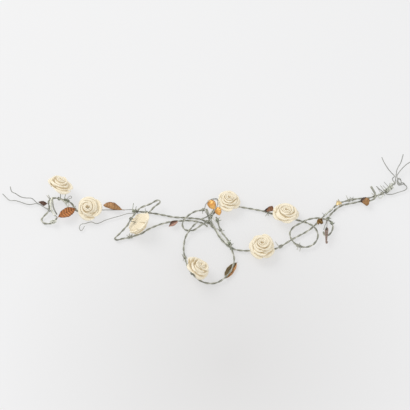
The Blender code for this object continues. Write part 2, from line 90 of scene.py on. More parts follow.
def buildMottle():
    group = bpy.data.node_groups.new("handMottle", "ShaderNodeTree")
    for name, value in (("Size", 0.005), ("Softness", 0.2)):
        socket = group.interface.new_socket(name=name, in_out="INPUT", socket_type="NodeSocketFloat")
        socket.default_value = value
    group.interface.new_socket(name="Mask", in_out="OUTPUT", socket_type="NodeSocketFloat")
    group.interface.new_socket(name="Fine", in_out="OUTPUT", socket_type="NodeSocketFloat")
    inside = group.nodes.new("NodeGroupInput")
    outside = group.nodes.new("NodeGroupOutput")
    coords = group.nodes.new("ShaderNodeTexCoord")
    scale = mathNode(group, "DIVIDE", 1.0, inside.outputs["Size"])
    broad = addNode(group, "ShaderNodeTexNoise", Detail=3.0, Roughness=0.55)
    fine = addNode(group, "ShaderNodeTexNoise", Detail=4.0, Roughness=0.6)
    group.links.new(coords.outputs["Object"], broad.inputs["Vector"])
    group.links.new(coords.outputs["Object"], fine.inputs["Vector"])
    group.links.new(scale, broad.inputs["Scale"])
    group.links.new(mathNode(group, "MULTIPLY", scale, 7.0), fine.inputs["Scale"])
    spread = group.nodes.new("ShaderNodeMapRange")
    group.links.new(broad.outputs[0], spread.inputs["Value"])
    group.links.new(mathNode(group, "SUBTRACT", 0.5, inside.outputs["Softness"]), spread.inputs["From Min"])
    group.links.new(mathNode(group, "ADD", 0.5, inside.outputs["Softness"]), spread.inputs["From Max"])
    group.links.new(spread.outputs[0], outside.inputs["Mask"])
    group.links.new(fine.outputs[0], outside.inputs["Fine"])
    return group


mottle = buildMottle()


def addMottle(tree, size, softness):
    node = tree.nodes.new("ShaderNodeGroup")
    node.node_tree = mottle
    node.inputs["Size"].default_value = size
    node.inputs["Softness"].default_value = softness
    return node


def addBump(tree, shader, height, distance):
    bump = addNode(tree, "ShaderNodeBump", Strength=0.5, Distance=distance)
    tree.links.new(height, bump.inputs["Height"])
    tree.links.new(bump.outputs["Normal"], shader.inputs["Normal"])


def newMaterial(name, roughness, metallic=0):
    material = bpy.data.materials.new(name)
    material.use_nodes = True
    shader = material.node_tree.nodes["Principled BSDF"]
    shader.inputs["Roughness"].default_value = roughness
    shader.inputs["Metallic"].default_value = metallic
    return material, material.node_tree, shader


wireFinishes = {
    "paleStrand": {"light": (0.52, 0.51, 0.42), "dark": (0.325, 0.33, 0.27), "size": 0.006, "rough": 0.45},
    "greenStrand": {
        "light": (0.345, 0.35, 0.275), "dark": (0.18, 0.185, 0.15), "size": 0.008, "rough": 0.42,
    },
    "tieGrey": {"light": (0.43, 0.43, 0.4), "dark": (0.25, 0.25, 0.23), "size": 0.009, "rough": 0.4},
    "barbGreen": {"light": (0.4, 0.43, 0.31), "dark": (0.15, 0.17, 0.12), "size": 0.004, "rough": 0.42},
    "palest": {"light": (0.8, 0.8, 0.7), "dark": (0.52, 0.54, 0.45), "size": 0.005, "rough": 0.5},
    "roseBrown": {"light": (0.36, 0.25, 0.2), "dark": (0.2, 0.13, 0.1), "size": 0.004, "rough": 0.45},
    "darkCoil": {"light": (0.22, 0.22, 0.17), "dark": (0.06, 0.062, 0.045), "size": 0.003, "rough": 0.38},
}


wireSurface = {
    "metallic": 0.25, "softness": 0.16, "grain": 0.0012, "dust": 0.18, "dustColour": (0.62, 0.62, 0.55),
}


def buildWire(name):
    finish = wireFinishes[name]
    material, tree, shader = newMaterial(name, finish["rough"], wireSurface["metallic"])
    marks = addMottle(tree, finish["size"], wireSurface["softness"])
    grain = addMottle(tree, wireSurface["grain"], 0.3)
    colour = mixColours(tree, marks.outputs["Mask"], finish["dark"], finish["light"])
    dust = mathNode(tree, "MULTIPLY", grain.outputs["Mask"], wireSurface["dust"])
    colour = mixColours(tree, dust, colour, wireSurface["dustColour"])
    tree.links.new(colour, shader.inputs["Base Color"])
    rough = mathNode(tree, "MULTIPLY_ADD", marks.outputs["Fine"], 0.3, finish["rough"] - 0.15)
    tree.links.new(rough, shader.inputs["Roughness"])
    addBump(tree, shader, grain.outputs["Fine"], 0.0001)
    return material


# painted shade: a tan colour darkens each rose petal toward its foot, in the gaps between petals
paper = {
    "light": (0.755, 0.69, 0.545), "dark": (0.67, 0.6, 0.455), "paintedRecessShade": (0.58, 0.48, 0.31), "paintedRecessShadeShare": 0.42,
    "patch": 0.006, "fibre": 0.0014, "rough": 0.6, "sheen": 0.15, "glow": 0.24, "thickness": 0.6,
}


def buildPaper():
    material, tree, shader = newMaterial("creamPaper", paper["rough"])
    marks = addMottle(tree, paper["patch"], 0.25)
    fibre = addMottle(tree, paper["fibre"], 0.3)
    depth = addNode(tree, "ShaderNodeAttribute", {"attribute_name": "depth"})
    cream = mixColours(tree, marks.outputs["Mask"], paper["dark"], paper["light"])
    # painted shade: the depth mark mixes the tan shade colour into the cream
    paintedRecessShade = mathNode(tree, "MULTIPLY", depth.outputs["Fac"], paper["paintedRecessShadeShare"])
    colour = mixColours(tree, paintedRecessShade, cream, paper["paintedRecessShade"])
    tree.links.new(colour, shader.inputs["Base Color"])
    rough = mathNode(tree, "MULTIPLY_ADD", fibre.outputs["Fine"], 0.25, paper["rough"])
    tree.links.new(rough, shader.inputs["Roughness"])
    addBump(tree, shader, fibre.outputs["Fine"], 0.0002)
    shader.inputs["Sheen Weight"].default_value = paper["sheen"]
    # painted light: the paper glows in its own colour, lifting the shade in its folds
    tree.links.new(colour, shader.inputs["Emission Color"])
    shader.inputs["Emission Strength"].default_value = paper["glow"]
    return material


leafFinishes = {
    "brightCopper": {
        "light": (0.54, 0.2, 0.05), "dark": (0.3, 0.105, 0.026), "rough": 0.4, "metallic": 0.35,
    },
    "brownCopper": {
        "light": (0.27, 0.12, 0.055), "dark": (0.15, 0.065, 0.03), "rough": 0.45, "metallic": 0.35,
    },
    # painted light: the lit half of the split leaf
    "litHalfCopper": {"light": (0.6, 0.31, 0.12), "dark": (0.36, 0.17, 0.07), "rough": 0.42, "metallic": 0.35},
    "saddleCopper": {
        "light": (0.42, 0.225, 0.085), "dark": (0.24, 0.12, 0.045), "rough": 0.42, "metallic": 0.35,
    },
    "rosyCopper": {"light": (0.45, 0.26, 0.19), "dark": (0.27, 0.14, 0.1), "rough": 0.45, "metallic": 0.3},
    "darkCopper": {
        "light": (0.13, 0.055, 0.03), "dark": (0.055, 0.024, 0.014), "rough": 0.42, "metallic": 0.3,
    },
    "blackCopper": {
        "light": (0.06, 0.032, 0.02), "dark": (0.03, 0.017, 0.011), "rough": 0.5, "metallic": 0.2,
    },
    "greyBrown": {"light": (0.32, 0.25, 0.21), "dark": (0.19, 0.14, 0.115), "rough": 0.5, "metallic": 0.2},
    # painted shade: the shaded half of the split leaf
    "shadedHalfCopper": {
        "light": (0.2, 0.145, 0.06), "dark": (0.11, 0.075, 0.03), "rough": 0.4, "metallic": 0.35,
    },
    "orangeGold": {"light": (1.0, 0.6, 0.18), "dark": (0.78, 0.35, 0.08), "rough": 0.3, "metallic": 0.35},
    "brassBrown": {"light": (0.42, 0.26, 0.09), "dark": (0.18, 0.1, 0.035), "rough": 0.4, "metallic": 0.35},
    "paleGold": {"light": (0.95, 0.78, 0.42), "dark": (0.78, 0.56, 0.24), "rough": 0.32, "metallic": 0.35},
}


ribbing = {"pitch": 3.5, "slant": 0.35, "depth": 0.34, "vein": 0.35, "grooveShade": 0.45}


def buildLeafMetal(name, middle, edge):
    material, tree, shader = newMaterial(name, middle["rough"], middle["metallic"])
    marks = addMottle(tree, 0.005, 0.2)
    pits = addMottle(tree, 0.0012, 0.3)
    rib = addNode(tree, "ShaderNodeAttribute", {"attribute_name": "rib"})
    toneAndShade = addNode(tree, "ShaderNodeAttribute", {"attribute_name": "toneAndShade"})
    centre = mixColours(tree, marks.outputs["Mask"], middle["dark"], middle["light"])
    border = mixColours(tree, marks.outputs["Mask"], edge["dark"], edge["light"])
    # partly painted shade: this mark blends in the edge colour at the rims and, on some leaves, over a
    # painted shaded side
    colour = mixColours(tree, toneAndShade.outputs["Fac"], centre, border)
    # painted shade: rib grooves and the sunken midrib take a darkened copy of the dark colour
    paintedGrooveShade = tuple(value * ribbing["grooveShade"] for value in middle["dark"])
    colour = mixColours(tree, rib.outputs["Fac"], colour, paintedGrooveShade)
    tree.links.new(colour, shader.inputs["Base Color"])
    rough = mathNode(tree, "MULTIPLY_ADD", pits.outputs["Fine"], 0.35, middle["rough"] - 0.15)
    tree.links.new(rough, shader.inputs["Roughness"])
    addBump(tree, shader, pits.outputs["Fine"], 0.0002)
    return material


materials = {name: buildWire(name) for name in wireFinishes}
materials["creamPaper"] = buildPaper()
print("materials made:", len(materials))


def toRow(points):
    return (np.array(points, float) + tableShift) * mm


def levelHeight(level):
    return ropeRadius + level * levelStep


fineStep = 0.5  # millimetres between points of a fine wire


def smoothLine(route, step=fineStep, levels=True):
    knots = np.array(route, float)
    if levels:
        knots[:, 2] = levelHeight(knots[:, 2])
    knots = np.vstack([2 * knots[0] - knots[1], knots, 2 * knots[-1] - knots[-2]])
    samples = []
    for a, b, c, d in zip(knots, knots[1:], knots[2:], knots[3:]):
        t1 = math.sqrt(np.linalg.norm(b - a))
        t2 = t1 + math.sqrt(np.linalg.norm(c - b))
        t3 = t2 + math.sqrt(np.linalg.norm(d - c))
        count = max(3, int(np.linalg.norm(c - b) / step))
        t = (t1 + (t2 - t1) * np.arange(count) / count)[:, None]
        ab = a + (b - a) * t / t1
        bc = b + (c - b) * (t - t1) / (t2 - t1)
        cd = c + (d - c) * (t - t2) / (t3 - t2)
        abc = ab + (bc - ab) * t / t2
        bcd = bc + (cd - bc) * (t - t1) / (t3 - t1)
        samples.append(abc + (bcd - abc) * (t - t1) / (t2 - t1))
    samples.append(knots[-2][None, :])
    return evenly(np.vstack(samples), step)


def travelAlong(line):
    return np.concatenate([[0], np.cumsum(np.linalg.norm(np.diff(line, axis=0), axis=1))])


def evenly(line, step):
    lengths = travelAlong(line)
    count = max(2, int(lengths[-1] / step) + 1)
    places = np.linspace(0, lengths[-1], count)
    return np.stack([np.interp(places, lengths, line[:, axis]) for axis in range(3)], axis=1)


def lineFrames(line):
    along = np.gradient(line, axis=0)
    along /= np.linalg.norm(along, axis=1)[:, None]
    side = np.cross(along[0], (0, 0, 1))
    if np.linalg.norm(side) < 0.1:
        side = np.cross(along[0], (0, 1, 0))
    sides = []
    for direction in along:
        side = side - direction * side.dot(direction)
        side /= np.linalg.norm(side)
        sides.append(side.copy())
    sides = np.array(sides)
    return along, sides, np.cross(sides, along)


def gridFaces(rows, columns):
    faces = []
    for i in range(rows - 1):
        for j in range(columns - 1):
            a = i * columns + j
            faces.append((a, a + columns, a + columns + 1, a + 1))
    return faces


class MeshParts:
    def __init__(self):
        self.vertices = []
        self.faces = []
        self.slots = []
        self.marks = []
        self.count = 0

    def add(self, vertices, faces, slot=0, marks=None):
        self.vertices.append(np.asarray(vertices, float))
        self.faces += [tuple(index + self.count for index in face) for face in faces]
        self.slots += [slot] * len(faces)
        self.marks.append(np.zeros(len(vertices)) if marks is None else np.asarray(marks, float))
        self.count += len(vertices)

    def addTube(self, line, radius, sides=8, slot=0):
        along, side, upper = lineFrames(line)
        angles = 2 * np.pi * np.arange(sides) / sides
        ring = side[:, None, :] * np.cos(angles)[None, :, None]
        ring = ring + upper[:, None, :] * np.sin(angles)[None, :, None]
        vertices = (line[:, None, :] + ring * radius).reshape(-1, 3)
        faces = []
        for i in range(len(line) - 1):
            for j in range(sides):
                k = (j + 1) % sides
                faces.append((i * sides + j, (i + 1) * sides + j, (i + 1) * sides + k, i * sides + k))
        faces.append(tuple(range(sides)))
        last = (len(line) - 1) * sides
        faces.append(tuple(last + j for j in reversed(range(sides))))
        self.add(vertices, faces, slot)

    def makeObject(self, name, finishes, markName=None):
        mesh = bpy.data.meshes.new(name)
        mesh.from_pydata(np.vstack(self.vertices).tolist(), [], self.faces)
        for finish in finishes:
            mesh.materials.append(materials[finish])
        mesh.polygons.foreach_set("material_index", self.slots)
        mesh.polygons.foreach_set("use_smooth", [True] * len(self.faces))
        if markName:
            mark = mesh.attributes.new(markName, "FLOAT", "POINT")
            mark.data.foreach_set("value", np.concatenate(self.marks).astype(np.float32))
        mesh.update()
        piece = bpy.data.objects.new(name, mesh)
        crown.objects.link(piece)
        return piece


routes = {  # x, y and level of each rope's middle line, in millimetres
    "left_ring_rope": [
        (-202, -1, 1.2), (-208, -7, 0.4), (-219, -7, 0), (-223, -2, 0), (-220, 3, 0.3), (-215, 8, 0.8),
        (-213, 15, 1), (-214, 23, 1.1), (-211.5, 27.5, 1.2), (-205, 29, 1.2), (-198, 27.5, 1.2),
        (-189, 25, 1.2), (-182, 20, 1.2), (-178, 13, 1), (-174, 10.4, 0.5), (-168.5, 11.2, 0),
        (-162, 12.6, 0), (-154, 13.6, 0), (-147, 12.8, 0),
    ],
    "main_upper_rope": [
        (-100, 10.5, 0.8), (-95, 10, 0.6), (-89, 9.5, 0.4), (-81, 9, 0.2), (-70, 7.5, 0), (-57, 5, 0),
        (-46, 2.5, 0),
    ],
    "upper_loop_rope": [
        (-93, 8, 2.2), (-90, 12, 2.3), (-76, 18, 2.6), (-67, 22.5, 3), (-63.2, 22.6, 3.1), (-62.6, 19.6, 3),
        (-66.5, 16.5, 2.8), (-72, 12.5, 2.2), (-76.5, 7.5, 1.6),
    ],
    "lower_loop_rope": [
        (-95, 4, 3.4), (-97, -1, 4.9), (-101, -9, 6.2), (-106, -17, 4.9), (-114, -23, 2.4),
        (-120.5, -27.4, 0.9), (-123, -30.4, 0.5), (-120.6, -32, 0.3), (-113, -30, 0), (-104, -28, 0),
        (-96, -25.5, 0), (-87, -22, 0), (-79, -16.5, 0), (-66, -10, 0), (-57, -7, 0), (-50, -5, 0),
    ],
    "centre_upper_start": [(-25, 1, 0), (-14, 0, 0), (-4, -2.4, 0), (4, -7, 0), (11, -14, 0), (15, -22, 0)],
    "centre_upper_end": [(21, -32, 0), (28, -39, 0), (34, -44, 0), (42, -46.5, 0)],
    "centre_lower_rope": [(-25, -3, 0), (-14, -4, 0), (-5, -7, 0), (2, -11.5, 0)],
    "small_loop_rope": [
        (-2, 10, 2.6), (-7, 9, 2.4), (-14, 8, 2), (-21, 5, 1.5), (-28, -1, 1.2), (-31.6, -7, 1.1),
        (-32, -11.5, 0.8), (-29.5, -16, 0.3), (-23, -18, 0), (-16, -17, 0.1), (-9, -12.5, 0.8),
        (0, -7, 1.2), (5, -2, 1.3), (9, 4, 1.3), (15, 12, 0.8), (22, 19, 0.3), (30, 22, 0), (41, 18.5, 0),
    ],
    "big_loop_rope": [
        (13.5, 0, 1.6), (16, -6, 1.2), (17.6, -13, 0.6), (21, -21, 0.5), (26, -28, 0.6), (31, -37, 1.05),
        (33.5, -45, 1.2), (35.5, -51, 1), (37.5, -58, 0.8), (37, -67, 0.8), (33, -78, 0.8), (26, -87, 0.8),
        (18, -93, 0.4), (9, -95.5, 0.1), (-3, -94.5, 0.5), (-13, -89, 1.4), (-20, -81.5, 2),
        (-25, -72, 1.5), (-27.5, -62, 0.6), (-30, -50, 0.1), (-30, -39, 0), (-28, -29, 0.4),
        (-23, -20, 1.2), (-19.4, -15, 1.2), (-16.5, -11.5, 1.1), (-12.4, -7.4, 0.9),
    ],
    "rose_six_rope": [
        (59, 15, 0), (69, 13, 0), (78, 11, 0), (87, 8, 0), (98, 5, 0), (108, 2, 0), (116, 0, 0),
        (123, -2, 0), (130, -4, 0), (138, -8, 0.5), (145, -13, 1.1), (149.5, -20, 1), (151, -26, 0.8),
        (149, -33, 0.6), (143, -40, 0.5), (134, -43, 0.5), (126, -42, 0.8), (120, -39, 1.1),
        (116, -34, 1.2), (113, -26, 1.1), (114, -20, 1.1), (120, -13, 1.2), (129, -8, 1.3), (138, -3, 1.2),
        (149, -1, 1.2), (158, -2, 1.3), (165, -4, 1.3), (170, -8, 1), (171.5, -13, 0.7), (170, -19, 0.4),
        (167, -23, 0.1), (163, -25.4, 0), (159.6, -24, 0), (158.4, -19.5, 0),
    ],
    "rose_seven_start": [
        (58, -47.6, 0), (64, -46, 0), (73, -44.5, 0), (81, -45.6, 0), (88, -46.5, 0), (93, -45, 0),
        (101, -41, 0), (110, -35, 0),
    ],
    "rose_seven_end": [
        (116, -31, 0), (126, -25, 0), (135, -20, 0), (144, -13, 0), (150, -7, 0), (155, -1, 0), (160, 4, 0),
        (167, 10.5, 0),
    ],
    "right_strand_rope": [(162.4, -7, 0), (164.6, -1, 0), (169.6, 7, 0)],
    "end_upper_rope": [
        (181, 23, 0), (188, 25.6, 0), (195, 27.4, 0), (202, 29, 0), (210, 30, 0), (216, 30, 0),
        (222, 31, 0), (231, 34, 0), (237, 36, 0), (243, 39, 0.3), (248, 42, 0.5), (252, 46, 0.7),
        (255, 51, 0.8),
    ],
    "end_lower_rope": [
        (184, 19.4, 0), (192, 21.6, 0), (201, 23.6, 0), (210, 25.6, 0), (218, 26, 0), (225, 27, 0.3),
        (229.6, 29.6, 1.1), (230, 34, 1.8), (227, 38, 3), (224, 41, 4.4),
    ],
}


def blendOver(piece):
    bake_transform(piece)


twist = {"pitch": 19.0, "strandRadius": 0.72, "offset": 0.68, "sides": 8, "step": 0.9, "startTurn": 1.3}
ropeChains = {  # one rope for each chain of routes
    "ringRope": {"routes": ["left_ring_rope"], "body": "left_end", "stands": ["left_ring_rope"]},
    "upperBandRope": {
        "routes": ["main_upper_rope", "centre_upper_start"], "neck": "centreLeft",
        "stands": ["main_upper_rope", "centre_upper_rope"],
    },
    "upperLoopRope": {"routes": ["upper_loop_rope"], "body": "left_middle", "stands": ["upper_loop_rope"]},
    "lowerLoopRope": {
        "routes": ["lower_loop_rope", "centre_lower_rope"], "neck": "centreLeft",
        "stands": ["lower_loop_rope", "centre_lower_rope"],
    },
    "smallLoopRope": {
        "routes": ["small_loop_rope", "rose_six_rope"], "neck": "centreRight",
        "stands": ["small_loop_rope", "rose_six_rope"],
    },
    "bigLoopRope": {"routes": ["big_loop_rope"], "body": "centre", "stands": ["big_loop_rope"]},
    "lowerBandRope": {
        "routes": ["centre_upper_end", "rose_seven_start"], "neck": "centreRight",
        "stands": ["rose_seven_rope"], "before": (15, -22, 0), "after": (116, -31, 0),
    },
    "rightBandRope": {
        "routes": ["rose_seven_end", "end_upper_rope"], "neck": "rightBand", "stands": ["end_upper_rope"],
        "before": (110, -35, 0),
    },
    "rightStrandRope": {
        "routes": ["right_strand_rope", "end_lower_rope"], "neck": "rightBand",
        "stands": ["right_strand_rope", "end_lower_rope"],
    },
}
ropeLines = {}


def twistStrands(line, phase):
    along, side, upper = lineFrames(line)
    travelled = travelAlong(line)
    strands = []
    for turn in (0.0, math.pi):
        angle = 2 * math.pi * travelled / twist["pitch"] + phase + turn
        offset = side * np.cos(angle)[:, None] + upper * np.sin(angle)[:, None]
        strands.append(line + offset * twist["offset"])
    return strands


def makeRopes():
    for index, (name, chain) in enumerate(ropeChains.items()):
        route = [point for part in chain["routes"] for point in routes[part]]
        if "before" in chain:
            route = [chain["before"], *route]
        if "after" in chain:
            route = [*route, chain["after"]]
        line = smoothLine(route, twist["step"])
        ropeLines[name] = line
        rope = MeshParts()
        for slot, strand in enumerate(twistStrands(line, index * twist["startTurn"])):
            rope.addTube(toRow(strand), twist["strandRadius"] * mm, twist["sides"], slot)
        piece = rope.makeObject(name, ["paleStrand", "greenStrand"])
        if "neck" in chain:
            blendOver(piece)
        else:
            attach(piece, chain["body"])
        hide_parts(*chain["stands"])


makeRopes()
print("ropes twisted:", len(ropeLines))


wires = {  # single wires, radius in millimetres
    "linkWire": {"neck": "leftBand", "stands": ["curl_wire", "link_wire"], "radius": 0.55, "points": [
        (-164.6, -11.4, 0), (-166.4, -15, 0), (-168.6, -18, 0), (-171, -16, 0), (-171, -11, 0),
        (-168, -8, 0), (-164, -7.6, 0), (-159, -5.6, 0), (-155, -5, 0), (-149, -7.4, 0), (-143, -5.8, 0),
        (-138, -3, 0), (-130, 0, 0), (-117, 4, 0), (-106, 7.6, 0), (-101, 7.4, 0.2), (-95, 8, 0.3),
    ]},
    "leafWire": {"neck": "leftBand", "stands": ["leaf_wire"], "radius": 0.6, "points": [
        (-156, 12.6, 0.3), (-150, 12.6, 0.2), (-143, 12.8, 0), (-133, 13, 0), (-124, 13, 0),
        (-114, 13, 0.1), (-107, 13, 0.2), (-101, 13, 0.3), (-96, 11, 0.9),
    ]},
    "tieUpperLeft": {"neck": "leftTie", "stands": ["tie_wire_left_upper", "tie_root_left"], "radius": 0.62,
        "points": [
        (-266, 42, 4), (-264, 36, 3), (-259, 34, 2.4), (-252, 30, 1.8), (-246, 29, 1.4), (-237, 29, 0.8),
        (-231, 24.5, 0), (-224, 19, 0.8), (-218.6, 13.6, 2), (-213, 10.5, 2.2), (-209, 7, 1.8),
        (-205.4, 4, 1.4), (-202, 0, 1.6),
    ]},
    "tieLowerLeft": {"neck": "leftTie", "stands": ["tie_wire_left_lower"], "radius": 0.62, "points": [
        (-277, 36, 0.8), (-272, 31, 0.4), (-267, 27, 0.2), (-260, 27, 0), (-253, 25, 0), (-245, 22, 0),
        (-239, 21, 0), (-231, 22.5, 0), (-226, 21, 0), (-220, 16.5, 0.2), (-214.5, 12.5, 0.6),
        (-212.2, 9, 0.9),
    ]},
    "ringTieRight": {"neck": "rightTie", "stands": ["ring_wire", "tie_wire_right_right"], "radius": 0.62,
        "points": [
        (231.8, 46.2, 1.6), (236, 42.2, 1.4), (240.3, 39.3, 1), (246.4, 36.8, 0), (252.9, 36.4, 0),
        (262.8, 39.7, 0), (271.6, 43, 0), (274, 46.2, 0), (272, 50.4, 0), (269, 51.6, 0.2),
        (266, 50.2, 0.2), (262.6, 50, 0.3), (261, 53, 0.5), (261, 56.8, 0.7), (263.2, 58.4, 0.9),
        (265.6, 56.4, 1.2), (266.2, 52.6, 1.3), (264.4, 50.4, 1.5), (262.4, 52, 1.6), (261.4, 57, 1.5),
        (260.6, 62.5, 1), (262.6, 66.4, 0.9), (267.1, 72.4, 1.3), (274.5, 79.3, 1.8), (279, 82, 2),
    ]},
    "loopTieLeft": {"neck": "rightTie", "stands": ["loop_wire", "tie_wire_right_left"], "radius": 0.62,
        "points": [
        (254.4, 49, 1.9), (257.2, 50.4, 1.9), (256.6, 52.4, 1.7), (254.6, 55.6, 1.4), (254.6, 59, 1.1),
        (257.4, 62.5, 0.8), (253.4, 67.2, 1.1), (248.8, 72.6, 1.6), (243.3, 81.8, 2.2), (240.6, 88.6, 2.6),
    ]},
    "middleTie": {"neck": "rightTie", "stands": ["tie_wire_right_middle"], "radius": 0.62, "points": [
        (252.6, 46.4, 1.9), (257.2, 49.4, 1.7), (258.2, 54, 1.4), (258.8, 58.4, 1), (259.2, 62.5, 0.8),
        (260.2, 66.4, 1), (260.6, 70.3, 1.3), (262.4, 74.6, 1.7), (266, 80, 2.4), (268, 85.4, 3.2),
        (269.6, 91, 4),
    ]},
    "innerRingWire": {"body": "left_end", "radius": 0.95, "finish": "greenStrand", "points": [
        (-204, 28, 2.2), (-208.4, 27, 2.3), (-208.2, 22.4, 2.3), (-207.2, 14.4, 2.3), (-205, 8.7, 2.2),
        (-202, 3.3, 2),
    ]},
    "paleRingWire": {"body": "left_end", "radius": 1.15, "finish": "palest", "points": [
        (-208.6, 28.4, 2.3), (-210.6, 23.7, 2.1), (-210.6, 17.7, 2), (-210, 11.2, 2), (-207.6, 6.3, 1.9),
        (-204.4, 1.4, 1.9),
    ]},
    "paleTangle": {"body": "left_end", "radius": 0.75, "finish": "palest", "points": [
        (-200, 27, 2.2), (-196.4, 25, 2.2), (-191.8, 21, 2.2), (-189.4, 17.5, 2.2), (-187.4, 14.2, 2),
        (-186.2, 17.7, 2.4), (-189.6, 21.4, 2.6), (-193, 22.4, 2.4),
    ]},
    "lowRingKnot": {"body": "left_end", "radius": 0.7, "finish": "palest", "points": [
        (-203, -6.6, 1.4), (-206.6, -9, 1.2), (-210, -7.8, 1.2), (-210.4, -5.6, 1.3), (-207, -4.4, 1.4),
        (-203.6, -4.8, 1.5), (-202.6, -6.4, 1.8), (-206, -8, 2), (-209.4, -6.8, 2),
    ]},
    "spiralHook": {"body": "left_end", "radius": 0.4, "points": [
        (-189.6, 23.6, 2), (-188, 27.4, 2.2), (-185, 30.6, 2.2), (-182.4, 29.4, 2.1), (-183.4, 27.4, 2),
        (-185.8, 27.6, 1.9),
    ]},
    "hangingStrand": {"body": "right_middle", "radius": 0.55, "points": [
        (163.4, -3.6, 1), (162, -9, 1.4), (160, -14, 1.4), (158.6, -18.4, 1.2),
    ]},
    "hangingHead": {"body": "hanging_leaf", "radius": 1.0, "finish": "darkCoil", "points": [
        (162.7, -16.2, 2.15), (161.9, -17.6, 2.1), (161.3, -19.2, 2.05),
    ]},
    "hangingHook": {"body": "hanging_leaf", "radius": 0.55, "finish": "roseBrown", "points": [
        (161.7, -35.6, 1.2), (162.1, -38.4, 1.1), (163.3, -37.6, 1.1), (163.9, -35.2, 1.15),
    ]},
    "crossingStrand": {"body": "centre", "radius": 0.75, "finish": "palest", "points": [
        (14.6, -8.4, 1.6), (11.4, -5, 1.9), (7.6, 0.4, 2), (6.6, 5.6, 2), (8.8, 8.8, 2.2),
    ]},
    "bandStrand": {"body": "right_middle", "radius": 0.7, "finish": "palest", "points": [
        (160.4, 2.4, 0.9), (163.4, 6.4, 1), (168.4, 11, 1), (173, 14.6, 0.9),
    ]},
    "neckSpur": {"body": "right_middle", "radius": 0.45, "finish": "darkCoil", "points": [
        (172.6, 8.8, 0.6), (174.6, 9.8, 0.7), (175.4, 11.6, 0.8), (174.4, 13, 0.9),
    ]},
    "bandSpur": {"body": "right_middle", "radius": 0.4, "points": [
        (157.2, 7.2, 1), (159.4, 4.9, 0.9), (161.6, 3.4, 0.7),
    ]},
    "lowBarb": {"body": "right_end", "radius": 0.55, "finish": "palest", "points": [
        (234.6, 35.8, 1), (234.2, 32.8, 0.5), (235.6, 30.8, 0.2), (239.4, 31.2, 0.2), (240.8, 35.4, 0.6),
    ]},
    "cutEnd": {"body": "right_end", "radius": 1.5, "finish": "paleStrand", "points": [
        (230, 33, 1.7), (229, 35.6, 2.3), (227, 38, 3), (225.6, 39.5, 3.7), (223.8, 41.2, 4.45),
    ]},
    "coilSpur": {"body": "right_end", "radius": 0.4, "points": [
        (242.4, 52, 2.2), (245.4, 48.6, 1.8), (248.4, 45.6, 1.5),
    ]},
    "coilSpurLow": {"body": "right_end", "radius": 0.4, "points": [
        (240.8, 46.6, 2), (243.2, 44.4, 1.6), (246.4, 42.4, 1.2),
    ]},
    "coilLacing": {"body": "right_end", "radius": 0.6, "finish": "palest", "points": [
        (243.4, 42.6, 1.4), (247.6, 38.6, 1), (246.4, 44.6, 1.9), (251, 41, 1.2), (249.4, 47.8, 2),
        (254.2, 44.2, 1.3), (252.4, 50.4, 2), (257, 48, 1.5), (255.4, 52, 1.9), (258.8, 52, 1.5),
    ]},
    "shortStrand": {"body": "centre", "radius": 1.0, "finish": "greenStrand", "points": [
        (-0.3, 9.3, 3.4), (1, 4, 3.4), (4, -4, 2.6), (7, -11.7, 1.4),
    ]},
    "shortStrandPale": {"body": "centre", "radius": 0.75, "finish": "paleStrand", "points": [
        (1.2, 9.6, 3.3), (3, 4.6, 3.2), (6.4, -3.4, 2.4), (9.4, -12, 1.6), (13.4, -18.6, 1.1),
    ]},
    "bundleStrand": {"body": "centre", "radius": 0.8, "finish": "palest", "points": [
        (4, -4.6, 1.4), (8.6, -9.4, 1.3), (13, -17, 1.1), (18, -25.6, 1), (24, -33, 0.9), (30, -39.4, 1),
    ]},
    "crossingStrandDark": {"body": "centre", "radius": 0.9, "finish": "greenStrand", "points": [
        (-8, -3, 1.4), (-1, -1.6, 2.2), (5.4, 2.4, 2.6), (9.4, 6.6, 2.7), (11.4, 10.6, 3.2),
    ]},
    "ovalRing": {"body": "right_end", "radius": 0.75, "points": [
        (261.2, 58.2, 1.2), (263.8, 57.7, 1.4), (266.1, 53.5, 1.5), (265.4, 50, 1.4), (263.1, 49.6, 1.2),
        (261.6, 52.9, 1.1), (261.2, 56.8, 1.2), (262.8, 58.4, 1.5), (265.2, 56.4, 1.8),
    ]},
    "ovalSpur": {"body": "right_end", "radius": 0.75, "points": [
        (265.8, 51, 1), (268, 52.4, 1), (270.4, 51.2, 0.8), (271.6, 48.6, 0.5),
    ]},
    "goldLeafWire": {"body": "centre", "radius": 0.6, "points": [
        (-2, 9.5, 2.9), (-1, 14, 3.8), (2.6, 18.6, 4.6), (10.1, 22.4, 4.9), (15.4, 19.4, 4.9),
        (15, 12.6, 4.7), (11.6, 6.9, 4.3), (9.4, 3.4, 3.4), (8.8, 0, 2.4),
    ]},
    "goldLeafHook": {"body": "centre", "radius": 0.45, "finish": "darkCoil", "points": [
        (9.6, 20.4, 4.7), (12, 22.8, 4.9), (14.6, 22.6, 4.9), (16.4, 19.6, 4.8),
    ]},
}


def makeWires():
    for name, wire in wires.items():
        line = smoothLine(wire["points"], 0.8)
        piece = MeshParts()
        piece.addTube(toRow(line), wire["radius"] * mm)
        piece = piece.makeObject(name, [wire.get("finish", "tieGrey")])
        if "neck" in wire:
            blendOver(piece)
        else:
            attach(piece, wire["body"])
        if "stands" in wire:
            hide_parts(*wire["stands"])


makeWires()
print("wires laid:", len(wires))


